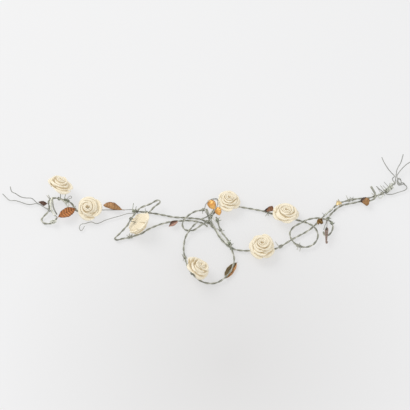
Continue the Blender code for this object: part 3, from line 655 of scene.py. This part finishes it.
barbStyle = {"radius": 0.45, "pitch": 1.15, "clearance": 0.15, "steps": 12, "sides": 7, "rise": 0.35}
barbs = [  # body, rope and the short wires wound on it; points are the lengths left standing
    ("left_end", "ringRope", {
        "ringTopBarb": {"near": (-212, 27), "turns": 1.6, "start": 100, "points": (6, 5)},
        "greenKnot": {"near": (-191, 25.6), "turns": 3.4, "start": 60, "points": (7, 8),
            "finish": "barbGreen"},
        "greenKnotSecond": {"near": (-187.4, 24), "turns": 2.2, "start": 10, "points": (8, 5),
            "finish": "barbGreen"},
        "ringSideKnot": {"near": (-178, 13), "turns": 2.4, "start": 120, "points": (4, 4)},
        "ringLowKnot": {"near": (-206, -5), "turns": 2.6, "start": 0, "points": (2, 2)},
    }),
    ("left_middle", "upperBandRope", {
        "loopKnotLeft": {"near": (-98.6, 10.4), "turns": 3.6, "start": 70, "points": (9, 7),
            "finish": "barbGreen"},
        "loopKnotInner": {"near": (-94, 10), "turns": 2.4, "start": 20, "points": (5, 6),
            "finish": "darkCoil"},
        "loopKnotRight": {"near": (-81, 9), "turns": 2.6, "start": 40, "points": (5, 5),
            "stands": "band_barb"},
    }),
    ("left_middle", "lowerLoopRope", {
        "triangleBarb": {"near": (-101, -27), "turns": 2.6, "start": 120, "points": (5, 2.5)},
        "triangleBarbSecond": {"near": (-104, -28), "turns": 1.8, "start": 20, "points": (6, 4)},
    }),
    ("centre", "smallLoopRope", {
        "smallLoopBarb": {"near": (-4, 9.8), "turns": 2.6, "start": 60, "points": (6, 5)},
        "crossingWrap": {"near": (6, 0), "turns": 3.2, "start": 0, "points": (4, 5), "finish": "barbGreen"},
    }),
    ("centre", "bigLoopRope", {
        "bigLoopTopWrap": {"near": (15.4, -4), "turns": 2.8, "start": 30, "points": (4, 4),
            "finish": "barbGreen"},
        "bigLoopBarb": {"near": (19.4, -18), "turns": 2.2, "start": 200, "points": (5, 6)},
        "forkKnot": {"near": (31.4, -38.5), "turns": 3.6, "start": 90, "points": (3, 4),
            "finish": "barbGreen"},
    }),
    ("centre", "lowerBandRope", {
        "forkKnotSecond": {"near": (34, -44), "turns": 2.6, "start": 60, "points": (4, 3),
            "finish": "barbGreen"},
    }),
    ("centre", "bigLoopRope", {
        "leftLoopBarb": {"near": (-28, -58), "turns": 3.0, "start": 0, "points": (5, 5),
            "stands": "loop_barb"},
    }),
    ("centre", "upperBandRope", {
        "centreWrap": {"near": (2, -5.6), "turns": 4.2, "start": 0, "points": (2, 2),
            "finish": "paleStrand"},
        "centreWrapSecond": {"near": (8.4, -11), "turns": 3.6, "start": 40, "points": (2, 3),
            "finish": "paleStrand"},
    }),
    ("right_middle", "smallLoopRope", {
        "roseSixBarb": {"near": (84, 9), "turns": 1.8, "start": 250, "points": (6, 4)},
    }),
    ("right_middle", "lowerBandRope", {
        "bandKnot": {"near": (100.5, -41.3), "turns": 4.0, "start": 60, "points": (8, 4)},
    }),
    ("right_middle", "smallLoopRope", {
        "ringBarb": {"near": (123, -40.8), "turns": 2.4, "start": 80, "points": (8, 7)},
        "ringBarbSecond": {"near": (126, -42), "turns": 2.0, "start": 40, "points": (7, 6)},
        "tailWrap": {"near": (170, -8.6), "turns": 3.0, "start": 0, "points": (2, 3), "finish": "barbGreen"},
    }),
    ("right_middle", "rightStrandRope", {
        "strandWrap": {"near": (165, 0), "turns": 3.4, "start": 30, "points": (6, 3), "finish": "barbGreen"},
    }),
    ("right_end", "rightBandRope", {
        "neckHook": {"near": (182, 23.4), "turns": 1.4, "start": 120, "points": (6, 6)},
        "endBarb": {"near": (195, 27.4), "turns": 3.0, "start": 60, "points": (6, 6), "stands": "end_barb"},
        "endBarbSecond": {"near": (198.6, 28.2), "turns": 2.0, "start": 20, "points": (7, 3)},
        "tailBarb": {"near": (230, 33.7), "turns": 2.6, "start": 30, "points": (7, 4)},
        "tailBarbSecond": {"near": (240, 37.4), "turns": 2.4, "start": 70, "points": (10, 6)},
        "darkEndCoil": {"near": (249, 42.8), "turns": 6.0, "start": 0, "points": (3, 3), "pitch": 1.9,
            "loose": 0.7, "finish": "darkCoil", "stands": "end_coil"},
        "paleEndCoil": {"near": (249.4, 43.2), "turns": 5.0, "start": 180, "points": (3, 3), "pitch": 2.5,
            "loose": 1.0, "finish": "palest"},
        "endSpike": {"near": (244.6, 39.8), "turns": 2.0, "start": 60, "points": (10, 9)},
    }),
]


def windBarb(rope, barb):
    line = ropeLines[rope]
    index = int(np.argmin(np.linalg.norm(line[:, :2] - np.array(barb["near"]), axis=1)))
    along, side, upper = lineFrames(line)
    travelled = travelAlong(line)
    flatUpper = np.array((0.0, 0.0, 1.0)) - along[index] * along[index][2]
    flatUpper /= np.linalg.norm(flatUpper)
    flatSide = np.cross(flatUpper, along[index])
    radius = ropeRadius + barbStyle["clearance"] + barbStyle["radius"] + barb.get("loose", 0)
    pitch = barb.get("pitch", barbStyle["pitch"])
    steps = int(barb["turns"] * barbStyle["steps"])
    coil = []
    for i in range(steps + 1):
        angle = math.radians(barb["start"]) + 2 * math.pi * i / barbStyle["steps"]
        offset = (i / barbStyle["steps"] - barb["turns"] / 2) * pitch
        at = np.clip(travelled[index] + offset, 0, travelled[-1])
        centre = np.array([np.interp(at, travelled, line[:, axis]) for axis in range(3)])
        coil.append(centre + (flatSide * math.cos(angle) + flatUpper * math.sin(angle)) * radius)
    coil = np.array(coil)
    first, last = barb["points"]
    outward = flatUpper * barbStyle["rise"]
    lead = coil[0] - coil[1]
    trail = coil[-1] - coil[-2]
    lead = lead / np.linalg.norm(lead) + outward
    trail = trail / np.linalg.norm(trail) + outward
    start = [coil[0] + lead * first * share for share in (1.0, 0.66, 0.33)]
    end = [coil[-1] + trail * last * share for share in (0.33, 0.66, 1.0)]
    points = np.vstack([start, coil, end])
    points[:, 2] = np.maximum(points[:, 2], barbStyle["radius"] - tableShift[2] + 0.02)  # above the table
    return points


def makeBarbs(body, rope, wound):
    for name, barb in wound.items():
        piece = MeshParts()
        piece.addTube(toRow(windBarb(rope, barb)), barbStyle["radius"] * mm, barbStyle["sides"])
        piece = piece.makeObject(name, [barb.get("finish", "paleStrand")])
        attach(piece, body)
        if "stands" in barb:
            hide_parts(barb["stands"])


for group in barbs:
    makeBarbs(*group)
print("barbs wound:", sum(len(wound) for body, rope, wound in barbs))


roses = {  # bloom is the radius, rise the height, drift how far the outer petals slide
    "rose_one": {
        "pivot": (-201.11, 31.14, 7.08), "along": (0.9624, -0.2715, 0), "face": (0.1817, 0.644, 0.7431),
        "bloom": 18.6, "stem": 16, "nod": 4, "tilt": 12, "sway": -4.6, "turn": 20, "seed": 1, "rise": 0.85,
        "drift": (3.2, -2.6), "rings": "open",
    },
    "rose_two": {
        "pivot": (-161.84, 15.86, 3.24), "along": (0.9852, 0.1711, 0), "face": (0.0297, -0.1711, 0.9848),
        "bloom": 17.8, "stem": 4, "turn": 200, "seed": 2, "rise": 0.9, "drift": (3.2, -1.0),
        "rings": "open", "hollow": 0.11,
    },
    "rose_three": {
        "pivot": (-101.98, -5.94, 23.08), "along": (-0.4829, -0.8755, 0.0149),
        "face": (0.6031, -0.3449, -0.7193), "bloom": 17.5, "stem": 6, "turn": 0, "seed": 3,
        "rise": 1.1, "drift": (-2.4, -3.6), "rings": "full",
    },
    "rose_four": {
        "pivot": (29.02, 25.06, 3.24), "along": (0.9981, 0.0199, -0.0586), "face": (0.0553, 0.1403, 0.9886),
        "bloom": 15.8, "stem": 4, "turn": 250, "seed": 4, "rise": 1.0, "drift": (0.4, -0.5),
        "rings": "full",
    },
    "rose_five": {
        "pivot": (-19.31, -80.65, 9.39), "along": (-0.6232, 0.768, 0.1477),
        "face": (0.5216, 0.2675, 0.8102), "bloom": 17.5, "stem": 7, "turn": 60, "seed": 5,
        "rise": 1.0, "drift": (0, 0), "rings": "loose",
    },
    "rose_six": {
        "pivot": (105.92, 5.37, 3.24), "along": (0.9609, -0.2767, 0), "face": (0.0946, 0.3287, 0.9397),
        "bloom": 18.2, "stem": 4, "turn": 0, "seed": 6, "rise": 0.72, "drift": (0, 0),
        "rings": "full",
    },
    "rose_seven": {
        "pivot": (73.66, -41.51, 3.24), "along": (0.9963, -0.0858, 0), "face": (0.003, 0.0348, 0.9994),
        "bloom": 17.8, "stem": 4, "turn": 90, "seed": 7, "rise": 1.05, "drift": (0.4, -1.4),
        "rings": "full",
    },
}
petalRings = {  # from the middle out: reach, height and lip as shares of the bloom
    "full": [
        {"petals": 3, "reach": 0.42, "height": 0.74, "lip": 0.12, "width": 150},
        {"petals": 4, "reach": 0.56, "height": 0.6, "lip": 0.15, "width": 118},
        {"petals": 5, "reach": 0.71, "height": 0.43, "lip": 0.18, "width": 96},
        {"petals": 5, "reach": 0.82, "height": 0.24, "lip": 0.2, "width": 94},
    ],
    "open": [
        {"petals": 3, "reach": 0.42, "height": 0.7, "lip": 0.12, "width": 150},
        {"petals": 4, "reach": 0.54, "height": 0.54, "lip": 0.13, "width": 120},
        {"petals": 4, "reach": 0.62, "height": 0.36, "lip": 0.1, "width": 118},
        {"petals": 3, "reach": 0.82, "height": 0.34, "lip": 0.2, "width": 136},
    ],
    "loose": [
        {"petals": 3, "reach": 0.34, "height": 0.8, "lip": 0.1, "width": 120},
        {"petals": 3, "reach": 0.52, "height": 0.74, "lip": 0.16, "width": 118},
        {"petals": 4, "reach": 0.68, "height": 0.56, "lip": 0.2, "width": 100},
        {"petals": 5, "reach": 0.8, "height": 0.32, "lip": 0.22, "width": 92},
    ],
}


ringTurn = 0.85  # each ring of petals starts this much further round
petalFoot = 0.9
stemRadius = 0.5
stemSteps = 16
petalShape = {"crease": 0.64, "root": 0.12, "tuck": 0.07, "corner": 0.34, "crown": 0.06, "ripple": 0.04}
heartShape = {
    "turns": 2.2, "steps": 22, "levels": 8, "hollow": 0.07, "reach": 0.32, "foot": 0.12, "top": 0.84,
    "fall": 0.08, "crease": 0.7, "lip": 0.075,
}


def petalSheet(rose, ring, angle, chance, foot, shift):
    across, up = 21, 14
    bloom = rose["bloom"]
    reach = ring["reach"] * bloom * chance.uniform(0.90, 1.03)
    top = ring["height"] * bloom * rose["rise"] * chance.uniform(0.88, 1.10)
    lip = ring["lip"] * bloom * chance.uniform(0.85, 1.2)
    half = math.radians(ring["width"]) / 2 * chance.uniform(0.95, 1.1)
    tuck = petalShape["tuck"] * bloom * chance.uniform(0.8, 1.3)
    wave = chance.uniform(0, 6.28)
    lean = chance.uniform(-1.5, 1.5)
    peak = chance.uniform(-0.3, 0.3)
    root = petalShape["root"] * bloom
    crease = petalShape["crease"]
    vertices, marks = [], []
    for i in range(across):
        u = i / (across - 1) * 2 - 1
        rim = 1 - petalShape["corner"] * abs(u) ** 2.2 + petalShape["crown"] * math.cos((u - peak) * 2.4)
        rim += petalShape["ripple"] * math.sin(5 * u + wave)
        for j in range(up):
            v = j / (up - 1) * rim
            wall = min(1.0, v / crease)
            curl = max(0.0, v - crease) / (1 - crease)
            radius = root + (reach - root) * math.sin(wall * math.pi / 2) ** 0.6
            radius += lip * math.sin(min(curl, 1.3) * 1.3) + tuck * u
            z = foot + (top - foot) * wall ** 1.5 + lip * (0.30 * math.sin(curl * 2.0) - 0.62 * curl ** 1.6)
            z += lean * u * 0.06 * bloom * wall - 0.04 * bloom * u * u
            turn = angle + u * half
            share = wall ** 1.2
            x = radius * math.cos(turn) + shift[0] * share
            y = radius * math.sin(turn) + shift[1] * share
            vertices.append((x, y, max(z, foot)))
            # painted shade mark: full at the petal's foot, fading out just above the crease
            marks.append(max(0.0, min(1.0, (crease + 0.04 - v) / 0.25)))
    return np.array(vertices) * mm, gridFaces(across, up), marks


def rolledHeart(rose):
    turns, levels = heartShape["turns"], heartShape["levels"]
    crease, steps = heartShape["crease"], int(turns * heartShape["steps"])
    bloom, hollow = rose["bloom"], rose.get("hollow", heartShape["hollow"])
    foot = petalFoot + bloom * heartShape["foot"]
    vertices, marks = [], []
    for i in range(steps + 1):
        share = i / steps
        angle = share * turns * 2 * math.pi
        radius = bloom * (hollow + (heartShape["reach"] - hollow) * share)
        top = bloom * rose["rise"] * (heartShape["top"] - heartShape["fall"] * share ** 1.5)
        for j in range(levels):
            v = j / (levels - 1)
            wall = min(1.0, v / crease)
            curl = max(0.0, v - crease) / (1 - crease)
            reach = radius * (0.92 + 0.08 * wall) + bloom * heartShape["lip"] * curl
            z = foot + (top - foot) * wall - bloom * 0.02 * curl ** 2
            vertices.append((reach * math.cos(angle), reach * math.sin(angle), z))
            # painted shade mark: full low on the rolled heart, fading out near its top
            marks.append(max(0.0, min(1.0, (0.80 - v) / 0.2)))
    return np.array(vertices) * mm, gridFaces(steps + 1, levels), marks


def thicken(piece, thickness):
    solidify = piece.modifiers.new("thickness", "SOLIDIFY")
    solidify.thickness = thickness * mm
    solidify.offset = 0


def buildRose(name, rose):
    chance = random.Random(rose["seed"])
    rings = petalRings[rose["rings"]]
    along = Vector(rose["along"]).normalized()
    face = Vector(rose["face"])
    face = (face - along * face.dot(along)).normalized()
    turn = Matrix((along, face.cross(along), face)).transposed().to_4x4()
    seatPlace = Matrix.Translation(Vector(rose["pivot"]) * mm) @ turn
    nod = Matrix.Rotation(math.radians(rose.get("nod", 0)), 4, "X")
    nod = nod @ Matrix.Rotation(math.radians(rose.get("tilt", 0)), 4, "Y")
    sway = rose.get("sway", 0)
    headHeight = rose["stem"] + ropeRadius
    bloomPlace = seatPlace @ Matrix.Translation((sway * mm, 0, headHeight * mm)) @ nod
    label = "rose" + name.split("_")[1].capitalize()
    petals = MeshParts()
    for number, ring in enumerate(rings):
        offset = math.radians(rose["turn"]) + number * ringTurn
        slide = (number / (len(rings) - 1)) ** 2
        shift = [value * slide for value in rose["drift"]]
        for petal in range(ring["petals"]):
            angle = offset + 2 * math.pi * petal / ring["petals"] + chance.uniform(-0.2, 0.2)
            foot = petalFoot + 0.2 * (len(rings) - number)
            vertices, faces, marks = petalSheet(rose, ring, angle, chance, foot, shift)
            petals.add(vertices, faces, 0, marks)
    heart = MeshParts()
    vertices, faces, marks = rolledHeart(rose)
    heart.add(vertices, faces, 0, marks)
    for parts, part in ((petals, "petals"), (heart, "heart")):
        piece = parts.makeObject(label + part.capitalize(), ["creamPaper"], "depth")
        piece.matrix_world = bloomPlace
        thicken(piece, paper["thickness"])
        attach(piece, name)
        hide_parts(name + "_" + part)
    stem = MeshParts()
    line = stemLine(headHeight, nod)
    line[:, 0] += sway * (np.clip(line[:, 2], 0, None) / headHeight) ** 1.5
    stem.addTube(line * mm, stemRadius * mm)
    piece = stem.makeObject(label + "Stem", ["greenStrand"])
    piece.matrix_world = seatPlace
    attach(piece, name)
    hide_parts(name + "_stem")


def stemLine(headHeight, nod):
    radius = ropeRadius + 0.15 + stemRadius
    coil = []
    for i in range(2 * stemSteps + 1):  # two turns round the rope
        angle = 2 * math.pi * i / stemSteps
        coil.append(((i / stemSteps - 1) * 1.5, radius * math.cos(angle), radius * math.sin(angle)))
    base = Vector((0, 0, headHeight))
    coil.append((1.5, radius, (radius + headHeight) / 2))
    coil += [tuple(base + nod.to_3x3() @ Vector((0, 0, reach))) for reach in (-0.4, 1.0, 3.2)]
    return smoothLine(coil, levels=False)


for name, rose in roses.items():
    buildRose(name, rose)
print("roses made:", len(roses))


leaves = {  # left and right are the edges at equal steps from base to tip, in millimetres
    "tieLeaf": {
        "base": (-214.5, 19, 8), "tip": (-227.8, 22.4, 6.6), "bow": 0.4, "cup": 0.16, "stalk": 1.2,
        "bend": 3.2, "finish": "darkCopper", "edge": "blackCopper", "body": "tie_leaf",
        "stands": "tie_leaf", "left": (-0.2, -1.4, -2.1, -2.6, -3.0, -2.6, -2.2, -1.3, -0.2),
        "right": (0.3, 2.7, 4.2, 3.8, 3.0, 2.1, 1.4, 0.7, 0.2),
    },
    "ringLeaf": {
        "base": (-201.3, -1.4, 8.2), "tip": (-177.4, 11.2, 8.6), "bow": 1.0, "cup": 0.1, "stalk": 1.5,
        "finish": "brightCopper", "edge": "brownCopper", "ribs": 1, "body": "left_end",
        "stands": "ring_leaf", "left": (-0.2, -3.1, -5.1, -6.5, -7.2, -6.9, -5.8, -3.9, -0.6),
        "right": (0.2, 3.1, 5.3, 6.2, 6.8, 6.6, 6.0, 4.1, 0.6),
    },
    "linkLeaf": {
        "base": (-111, 11.4, 4), "tip": (-139.4, 18.6, 4.4), "bow": 0.8, "cup": 0.12, "stalk": 3,
        "bend": 2.4, "finish": "saddleCopper", "edge": "brownCopper", "body": "left_middle",
        "stands": "link_leaf", "left": (-0.2, -2.4, -4.4, -6.1, -7.3, -7.1, -6.5, -5.0, -0.8),
        "right": (0.2, 1.6, 2.2, 2.9, 3.1, 3.0, 2.6, 2.2, 0.6),
    },
    "smallLeaf": {
        "base": (-38.2, -4.6, 4.4), "tip": (-50.4, -13.0, 4.4), "bow": 0.5, "cup": 0.14, "stalk": 0.5,
        "finish": "rosyCopper", "edge": "darkCopper", "shadedSide": True, "body": "left_middle",
        "stands": "small_leaf", "left": (-0.9, -1.8, -2.6, -3.5, -4.3, -3.7, -2.5, -1.2, -0.1),
        "right": (0.6, 2.3, 2.7, 3.1, 3.5, 3.3, 2.3, 1.3, 0.3),
    },
    # painted shade: one half of this folded leaf is coloured as shaded, the other as lit
    "loopLeaf": {
        "base": (41.5, -64.6, 1.3), "tip": (25.8, -87.9, 1.2), "bow": 0.3, "cup": 0.1, "stalk": 1,
        "finish": "shadedHalfCopper", "edge": "litHalfCopper", "split": True, "body": "centre",
        "stands": "loop_leaf", "left": (-1.3, -3.6, -5.2, -6.1, -6.5, -6.3, -5.6, -3.9, -0.4),
        "right": (0.2, 2.5, 3.6, 4.2, 4.5, 4.5, 4.0, 2.6, 0.4),
    },
    "goldLeaf": {
        "base": (11.6, 8.5, 12.4), "tip": (3.2, 21.7, 14.2), "bow": 1.4, "cup": 0.2, "stalk": 0.5,
        "finish": "orangeGold", "edge": "saddleCopper", "ribs": 0.15, "rimPower": 2.0, "body": "centre",
        "stands": "gold_leaf", "left": (-0.6, -3.4, -4.8, -5.6, -5.9, -5.7, -5.2, -4.0, -0.8),
        "right": (0.8, 3.6, 4.9, 5.5, 5.7, 5.5, 4.7, 3.3, 0.6),
    },
    "goldLeafLobe": {
        "base": (13.6, 12.6, 11.4), "tip": (18.2, 1.0, 10.0), "bow": 0.8, "cup": 0.2, "stalk": 0.5,
        "finish": "orangeGold", "edge": "saddleCopper", "ribs": 0.15, "rimPower": 2.0, "body": "centre",
        "left": (-1.2, -3.0, -3.9, -4.4, -4.5, -4.3, -3.6, -2.4, -0.5),
        "right": (1.2, 3.7, 4.4, 4.8, 4.8, 4.5, 3.9, 2.6, 0.5),
    },
    "budLeaf": {
        "base": (77.4, 9.6, 3.8), "tip": (91.2, 14.2, 5.4), "bow": 0.6, "cup": 0.25, "stalk": 0.8,
        "finish": "brownCopper", "edge": "blackCopper", "neckDark": True, "body": "right_middle",
        "stands": "bud_leaf", "left": (-0.1, -1.3, -2.6, -3.3, -3.8, -4.2, -4.4, -4.2, -3.4),
        "right": (0.1, 1.0, 1.8, 2.4, 2.9, 3.3, 3.4, 3.2, 2.6),
    },
    "crumpledLeaf": {
        "base": (158.2, -4.8, 6), "tip": (150, -8.4, 6.4), "bow": 0.6, "cup": 0.1, "stalk": 0.5,
        "crush": 1.5, "finish": "brassBrown", "edge": "darkCopper", "body": "right_middle",
        "stands": "crumpled_leaf", "left": (-3.0, -3.2, -3.4, -3.4, -3.8, -4.2, -3.6, -2.9, -1.0),
        "right": (0.4, 3.6, 4.9, 4.5, 4.0, 3.6, 3.4, 3.2, 2.4),
    },
    "hangingLeaf": {
        "base": (163.4, -7, 9.4), "tip": (161.8, -38.6, 5), "roll": 50, "cup": 0.1, "stalk": 10,
        "finish": "greyBrown", "edge": "rosyCopper", "body": "hanging_leaf", "stands": "hanging_leaf",
        "left": (-2.2, -3.8, -3.8, -3.0, -2.2, -1.8, -1.6, -1.3, -0.8),
        "right": (2.2, 3.8, 3.8, 3.0, 2.2, 1.8, 1.6, 1.3, 0.8),
    },
    "fanLeaf": {
        "base": (208.6, 25, 4.8), "tip": (221.6, 22.6, 5.8), "bow": 0.8, "cup": 0.12, "stalk": 0.6,
        "finish": "saddleCopper", "edge": "blackCopper", "neckDark": True, "body": "fan_leaf",
        "stands": "fan_leaf", "left": (-0.2, -1.8, -2.9, -3.9, -4.8, -5.7, -6.5, -6.2, -3.6),
        "right": (0.2, 3.1, 5.2, 5.8, 6.0, 5.9, 5.6, 4.8, 3.4),
    },
    "brightLeaf": {
        "base": (184.2, 22.0, 4.6), "tip": (176.4, 20.2, 5.4), "bow": 1.2, "cup": 0.25, "stalk": 0.4,
        "finish": "paleGold", "edge": "brassBrown", "ribs": 0.3, "body": "right_end",
        "stands": "bright_leaf", "left": (-0.8, -1.0, -2.4, -4.6, -2.2, -2.4, -4.4, -1.6, -0.5),
        "right": (0.8, 3.6, 1.6, 1.9, 4.8, 2.2, 2.6, 3.8, 1.2),
    },
}


leafShape = {"rows": 44, "columns": 21, "thickness": 0.3, "stalkRadius": 0.35}


def leafToneAndShade(leaf, u, v):
    if "neckDark" in leaf:
        return max(abs(u) ** 6 * 0.3, 1.0 if v < 0.30 + 0.28 * max(u, 0) else 0.0)
    # painted shade: darker on the left side and toward the base
    if "shadedSide" in leaf:
        return min(1.0, max(0.0, 0.6 - u * 1.5 - v * 0.6))
    # painted shade: the split leaf's halves take a shaded and a lit colour
    if "split" in leaf:
        return 1.0 if u > 0.05 else 0.0
    return abs(u) ** leaf.get("rimPower", 4) * 0.8


def makeLeaf(name, leaf, seed):
    chance = random.Random(seed)
    start, end = np.array(leaf["base"], float), np.array(leaf["tip"], float)
    length = np.linalg.norm(end - start)
    along = (end - start) / length
    across = np.cross((0, 0, 1), along)
    across /= np.linalg.norm(across)
    roll = Matrix.Rotation(math.radians(leaf.get("roll", 0)), 3, Vector(along))
    across = np.array(roll @ Vector(across))
    normal = np.cross(along, across)
    blade = length - leaf["stalk"]
    stations = np.linspace(0, 1, len(leaf["left"]))
    rows, columns = leafShape["rows"], leafShape["columns"]
    wave = chance.uniform(0, 6.28)
    crush, ribs = leaf.get("crush", 0), leaf.get("ribs", 0.3)
    vertices, marks, toneAndShadeValues = [], [], []
    for i in range(rows):
        v = i / (rows - 1)
        low = np.interp(v, stations, leaf["left"]) * (1 + 0.03 * math.sin(v * 23 + wave))
        high = np.interp(v, stations, leaf["right"]) * (1 + 0.03 * math.sin(v * 19 + wave))
        half = (high - low) / 2
        edge = min(1.0, half / 2)
        slide = leaf.get("bend", 0) * (v * (1 - v)) * 0.5
        for j in range(columns):
            u = j / (columns - 1) * 2 - 1
            side = high * u if u > 0 else -low * u
            rib = math.sin((v * blade - abs(side) * ribbing["slant"]) * 2 * math.pi / ribbing["pitch"])
            vein = math.exp(-(side / ribbing["vein"]) ** 2)
            lift = leaf["cup"] * half * u * u + ribbing["depth"] * rib * ribs * (1 - vein) * edge
            lift += leaf.get("bow", 0) * math.sin(v * math.pi) + 0.2 * u * math.sin(v * 5 + wave)
            lift += crush * math.sin(v * 12 + u * 2.0 + wave) * edge - 0.25 * vein * edge
            middle = start + along * (leaf["stalk"] + blade * v)
            vertices.append(middle + across * (side + slide) + normal * lift)
            # painted shade mark: strongest in the rib grooves and along the sunken midrib
            paintedGrooveShade = max(0.0, -rib) * 0.95 * (1 - vein) + vein * 0.5
            marks.append(paintedGrooveShade * (0.4 + 0.6 * edge) * ribs)
            toneAndShadeValues.append(leafToneAndShade(leaf, u, v))
    piece = MeshParts()
    piece.add(toRow(vertices), gridFaces(rows, columns), 0, marks)
    piece = piece.makeObject(name, [name], "rib")
    toneAndShadeMark = piece.data.attributes.new("toneAndShade", "FLOAT", "POINT")
    toneAndShadeMark.data.foreach_set("value", np.array(toneAndShadeValues, np.float32))
    thicken(piece, leafShape["thickness"])
    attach(piece, leaf["body"])
    if "stands" in leaf:
        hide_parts(leaf["stands"])
    if leaf["stalk"] >= 1:
        stalk = MeshParts()
        inner = start - along * 0.5
        outer = start + along * (leaf["stalk"] + blade * 0.3) - normal * 0.3
        line = np.array([inner + (outer - inner) * share for share in np.linspace(0, 1, 8)])
        stalk.addTube(toRow(line), leafShape["stalkRadius"] * mm, 6)
        stalk = stalk.makeObject(name + "Stalk", [name])
        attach(stalk, leaf["body"])


for name, leaf in leaves.items():
    materials[name] = buildLeafMetal(name, leafFinishes[leaf["finish"]], leafFinishes[leaf["edge"]])
for number, (name, leaf) in enumerate(leaves.items()):
    makeLeaf(name, leaf, 40 + number)  # one seed for each leaf
print("leaves pressed:", len(leaves))


# painted light: the table glows by itself to wash out cast shadows, and the glow dims in a painted round
# patch of shade centred just in front of the crown
table = {
    "size": 6.0, "colour": (0.24, 0.24, 0.24), "glow": (0.61, 0.61, 0.612), "dimmed": (0.5, 0.494, 0.488),
    "shadeOffset": (-0.1, 0.66, 0), "shadeScale": (3.3, 3.3, 3.3),
}


def makeTable():
    mesh = bpy.data.meshes.new("tableTop")
    half = table["size"] / 2
    corners = [(-half, -half, 0), (half, -half, 0), (half, half, 0), (-half, half, 0)]
    mesh.from_pydata(corners, [], [(0, 1, 2, 3)])
    material, tree, shader = newMaterial("paleTable", 0.85)
    shader.inputs["Base Color"].default_value = (*table["colour"], 1)
    shader.inputs["Specular IOR Level"].default_value = 0.1
    coords = tree.nodes.new("ShaderNodeTexCoord")
    dimness = addNode(tree, "ShaderNodeTexGradient", {"gradient_type": "SPHERICAL"})
    placed = addNode(tree, "ShaderNodeMapping", Location=table["shadeOffset"], Scale=table["shadeScale"])
    tree.links.new(coords.outputs["Object"], placed.inputs["Vector"])
    tree.links.new(placed.outputs["Vector"], dimness.inputs["Vector"])
    # painted shade: the glow dims toward the round patch's centre
    glow = mixColours(tree, dimness.outputs["Fac"], table["glow"], table["dimmed"])
    tree.links.new(glow, shader.inputs["Emission Color"])
    shader.inputs["Emission Strength"].default_value = 1.0
    mesh.materials.append(material)
    top = bpy.data.objects.new("tableTop", mesh)
    bpy.context.scene.collection.objects.link(top)


room = {"colour": (0.98, 0.98, 1.0, 1), "strength": 0.72}
lights = {
    "windowLight": {"size": 1.6, "power": 26, "place": (-1.2, 1.0, 1.7), "colour": (1.0, 0.99, 0.97)},
    "fillLight": {"size": 2.4, "power": 8, "place": (1.4, -1.2, 1.9), "colour": (0.97, 0.98, 1.0)},
}


def makeLights():
    world = bpy.data.worlds.new("softRoom")
    world.use_nodes = True
    background = world.node_tree.nodes["Background"]
    background.inputs["Color"].default_value = room["colour"]
    background.inputs["Strength"].default_value = room["strength"]
    bpy.context.scene.world = world
    for name, light in lights.items():
        data = bpy.data.lights.new(name, "AREA")
        data.shape = "DISK"
        data.size = light["size"]
        data.energy = light["power"]
        data.color = light["colour"]
        lamp = bpy.data.objects.new(name, data)
        lamp.location = light["place"]
        lamp.rotation_euler = (-Vector(light["place"])).to_track_quat("-Z", "Y").to_euler()
        bpy.context.scene.collection.objects.link(lamp)


shot = {"target": (-0.00248, 0.02408, 0.00184), "distance": 3.0, "elevation": 65, "width": 0.5576}


def makeCamera():
    camera = bpy.data.cameras.new("shotCamera")
    camera.lens = camera.sensor_width * shot["distance"] / shot["width"]
    camera.clip_start = 0.05
    camera.clip_end = 50
    rig = bpy.data.objects.new("shotCamera", camera)
    angle = math.radians(shot["elevation"])
    back = Vector((0, -math.cos(angle), math.sin(angle)))
    rig.location = Vector(shot["target"]) + back * shot["distance"]
    rig.rotation_euler = (-back).to_track_quat("-Z", "Y").to_euler()
    bpy.context.scene.collection.objects.link(rig)
    bpy.context.scene.camera = rig


makeTable()
makeLights()
makeCamera()
bpy.context.scene.view_settings.view_transform = "Standard"
print("table, lights and camera set")
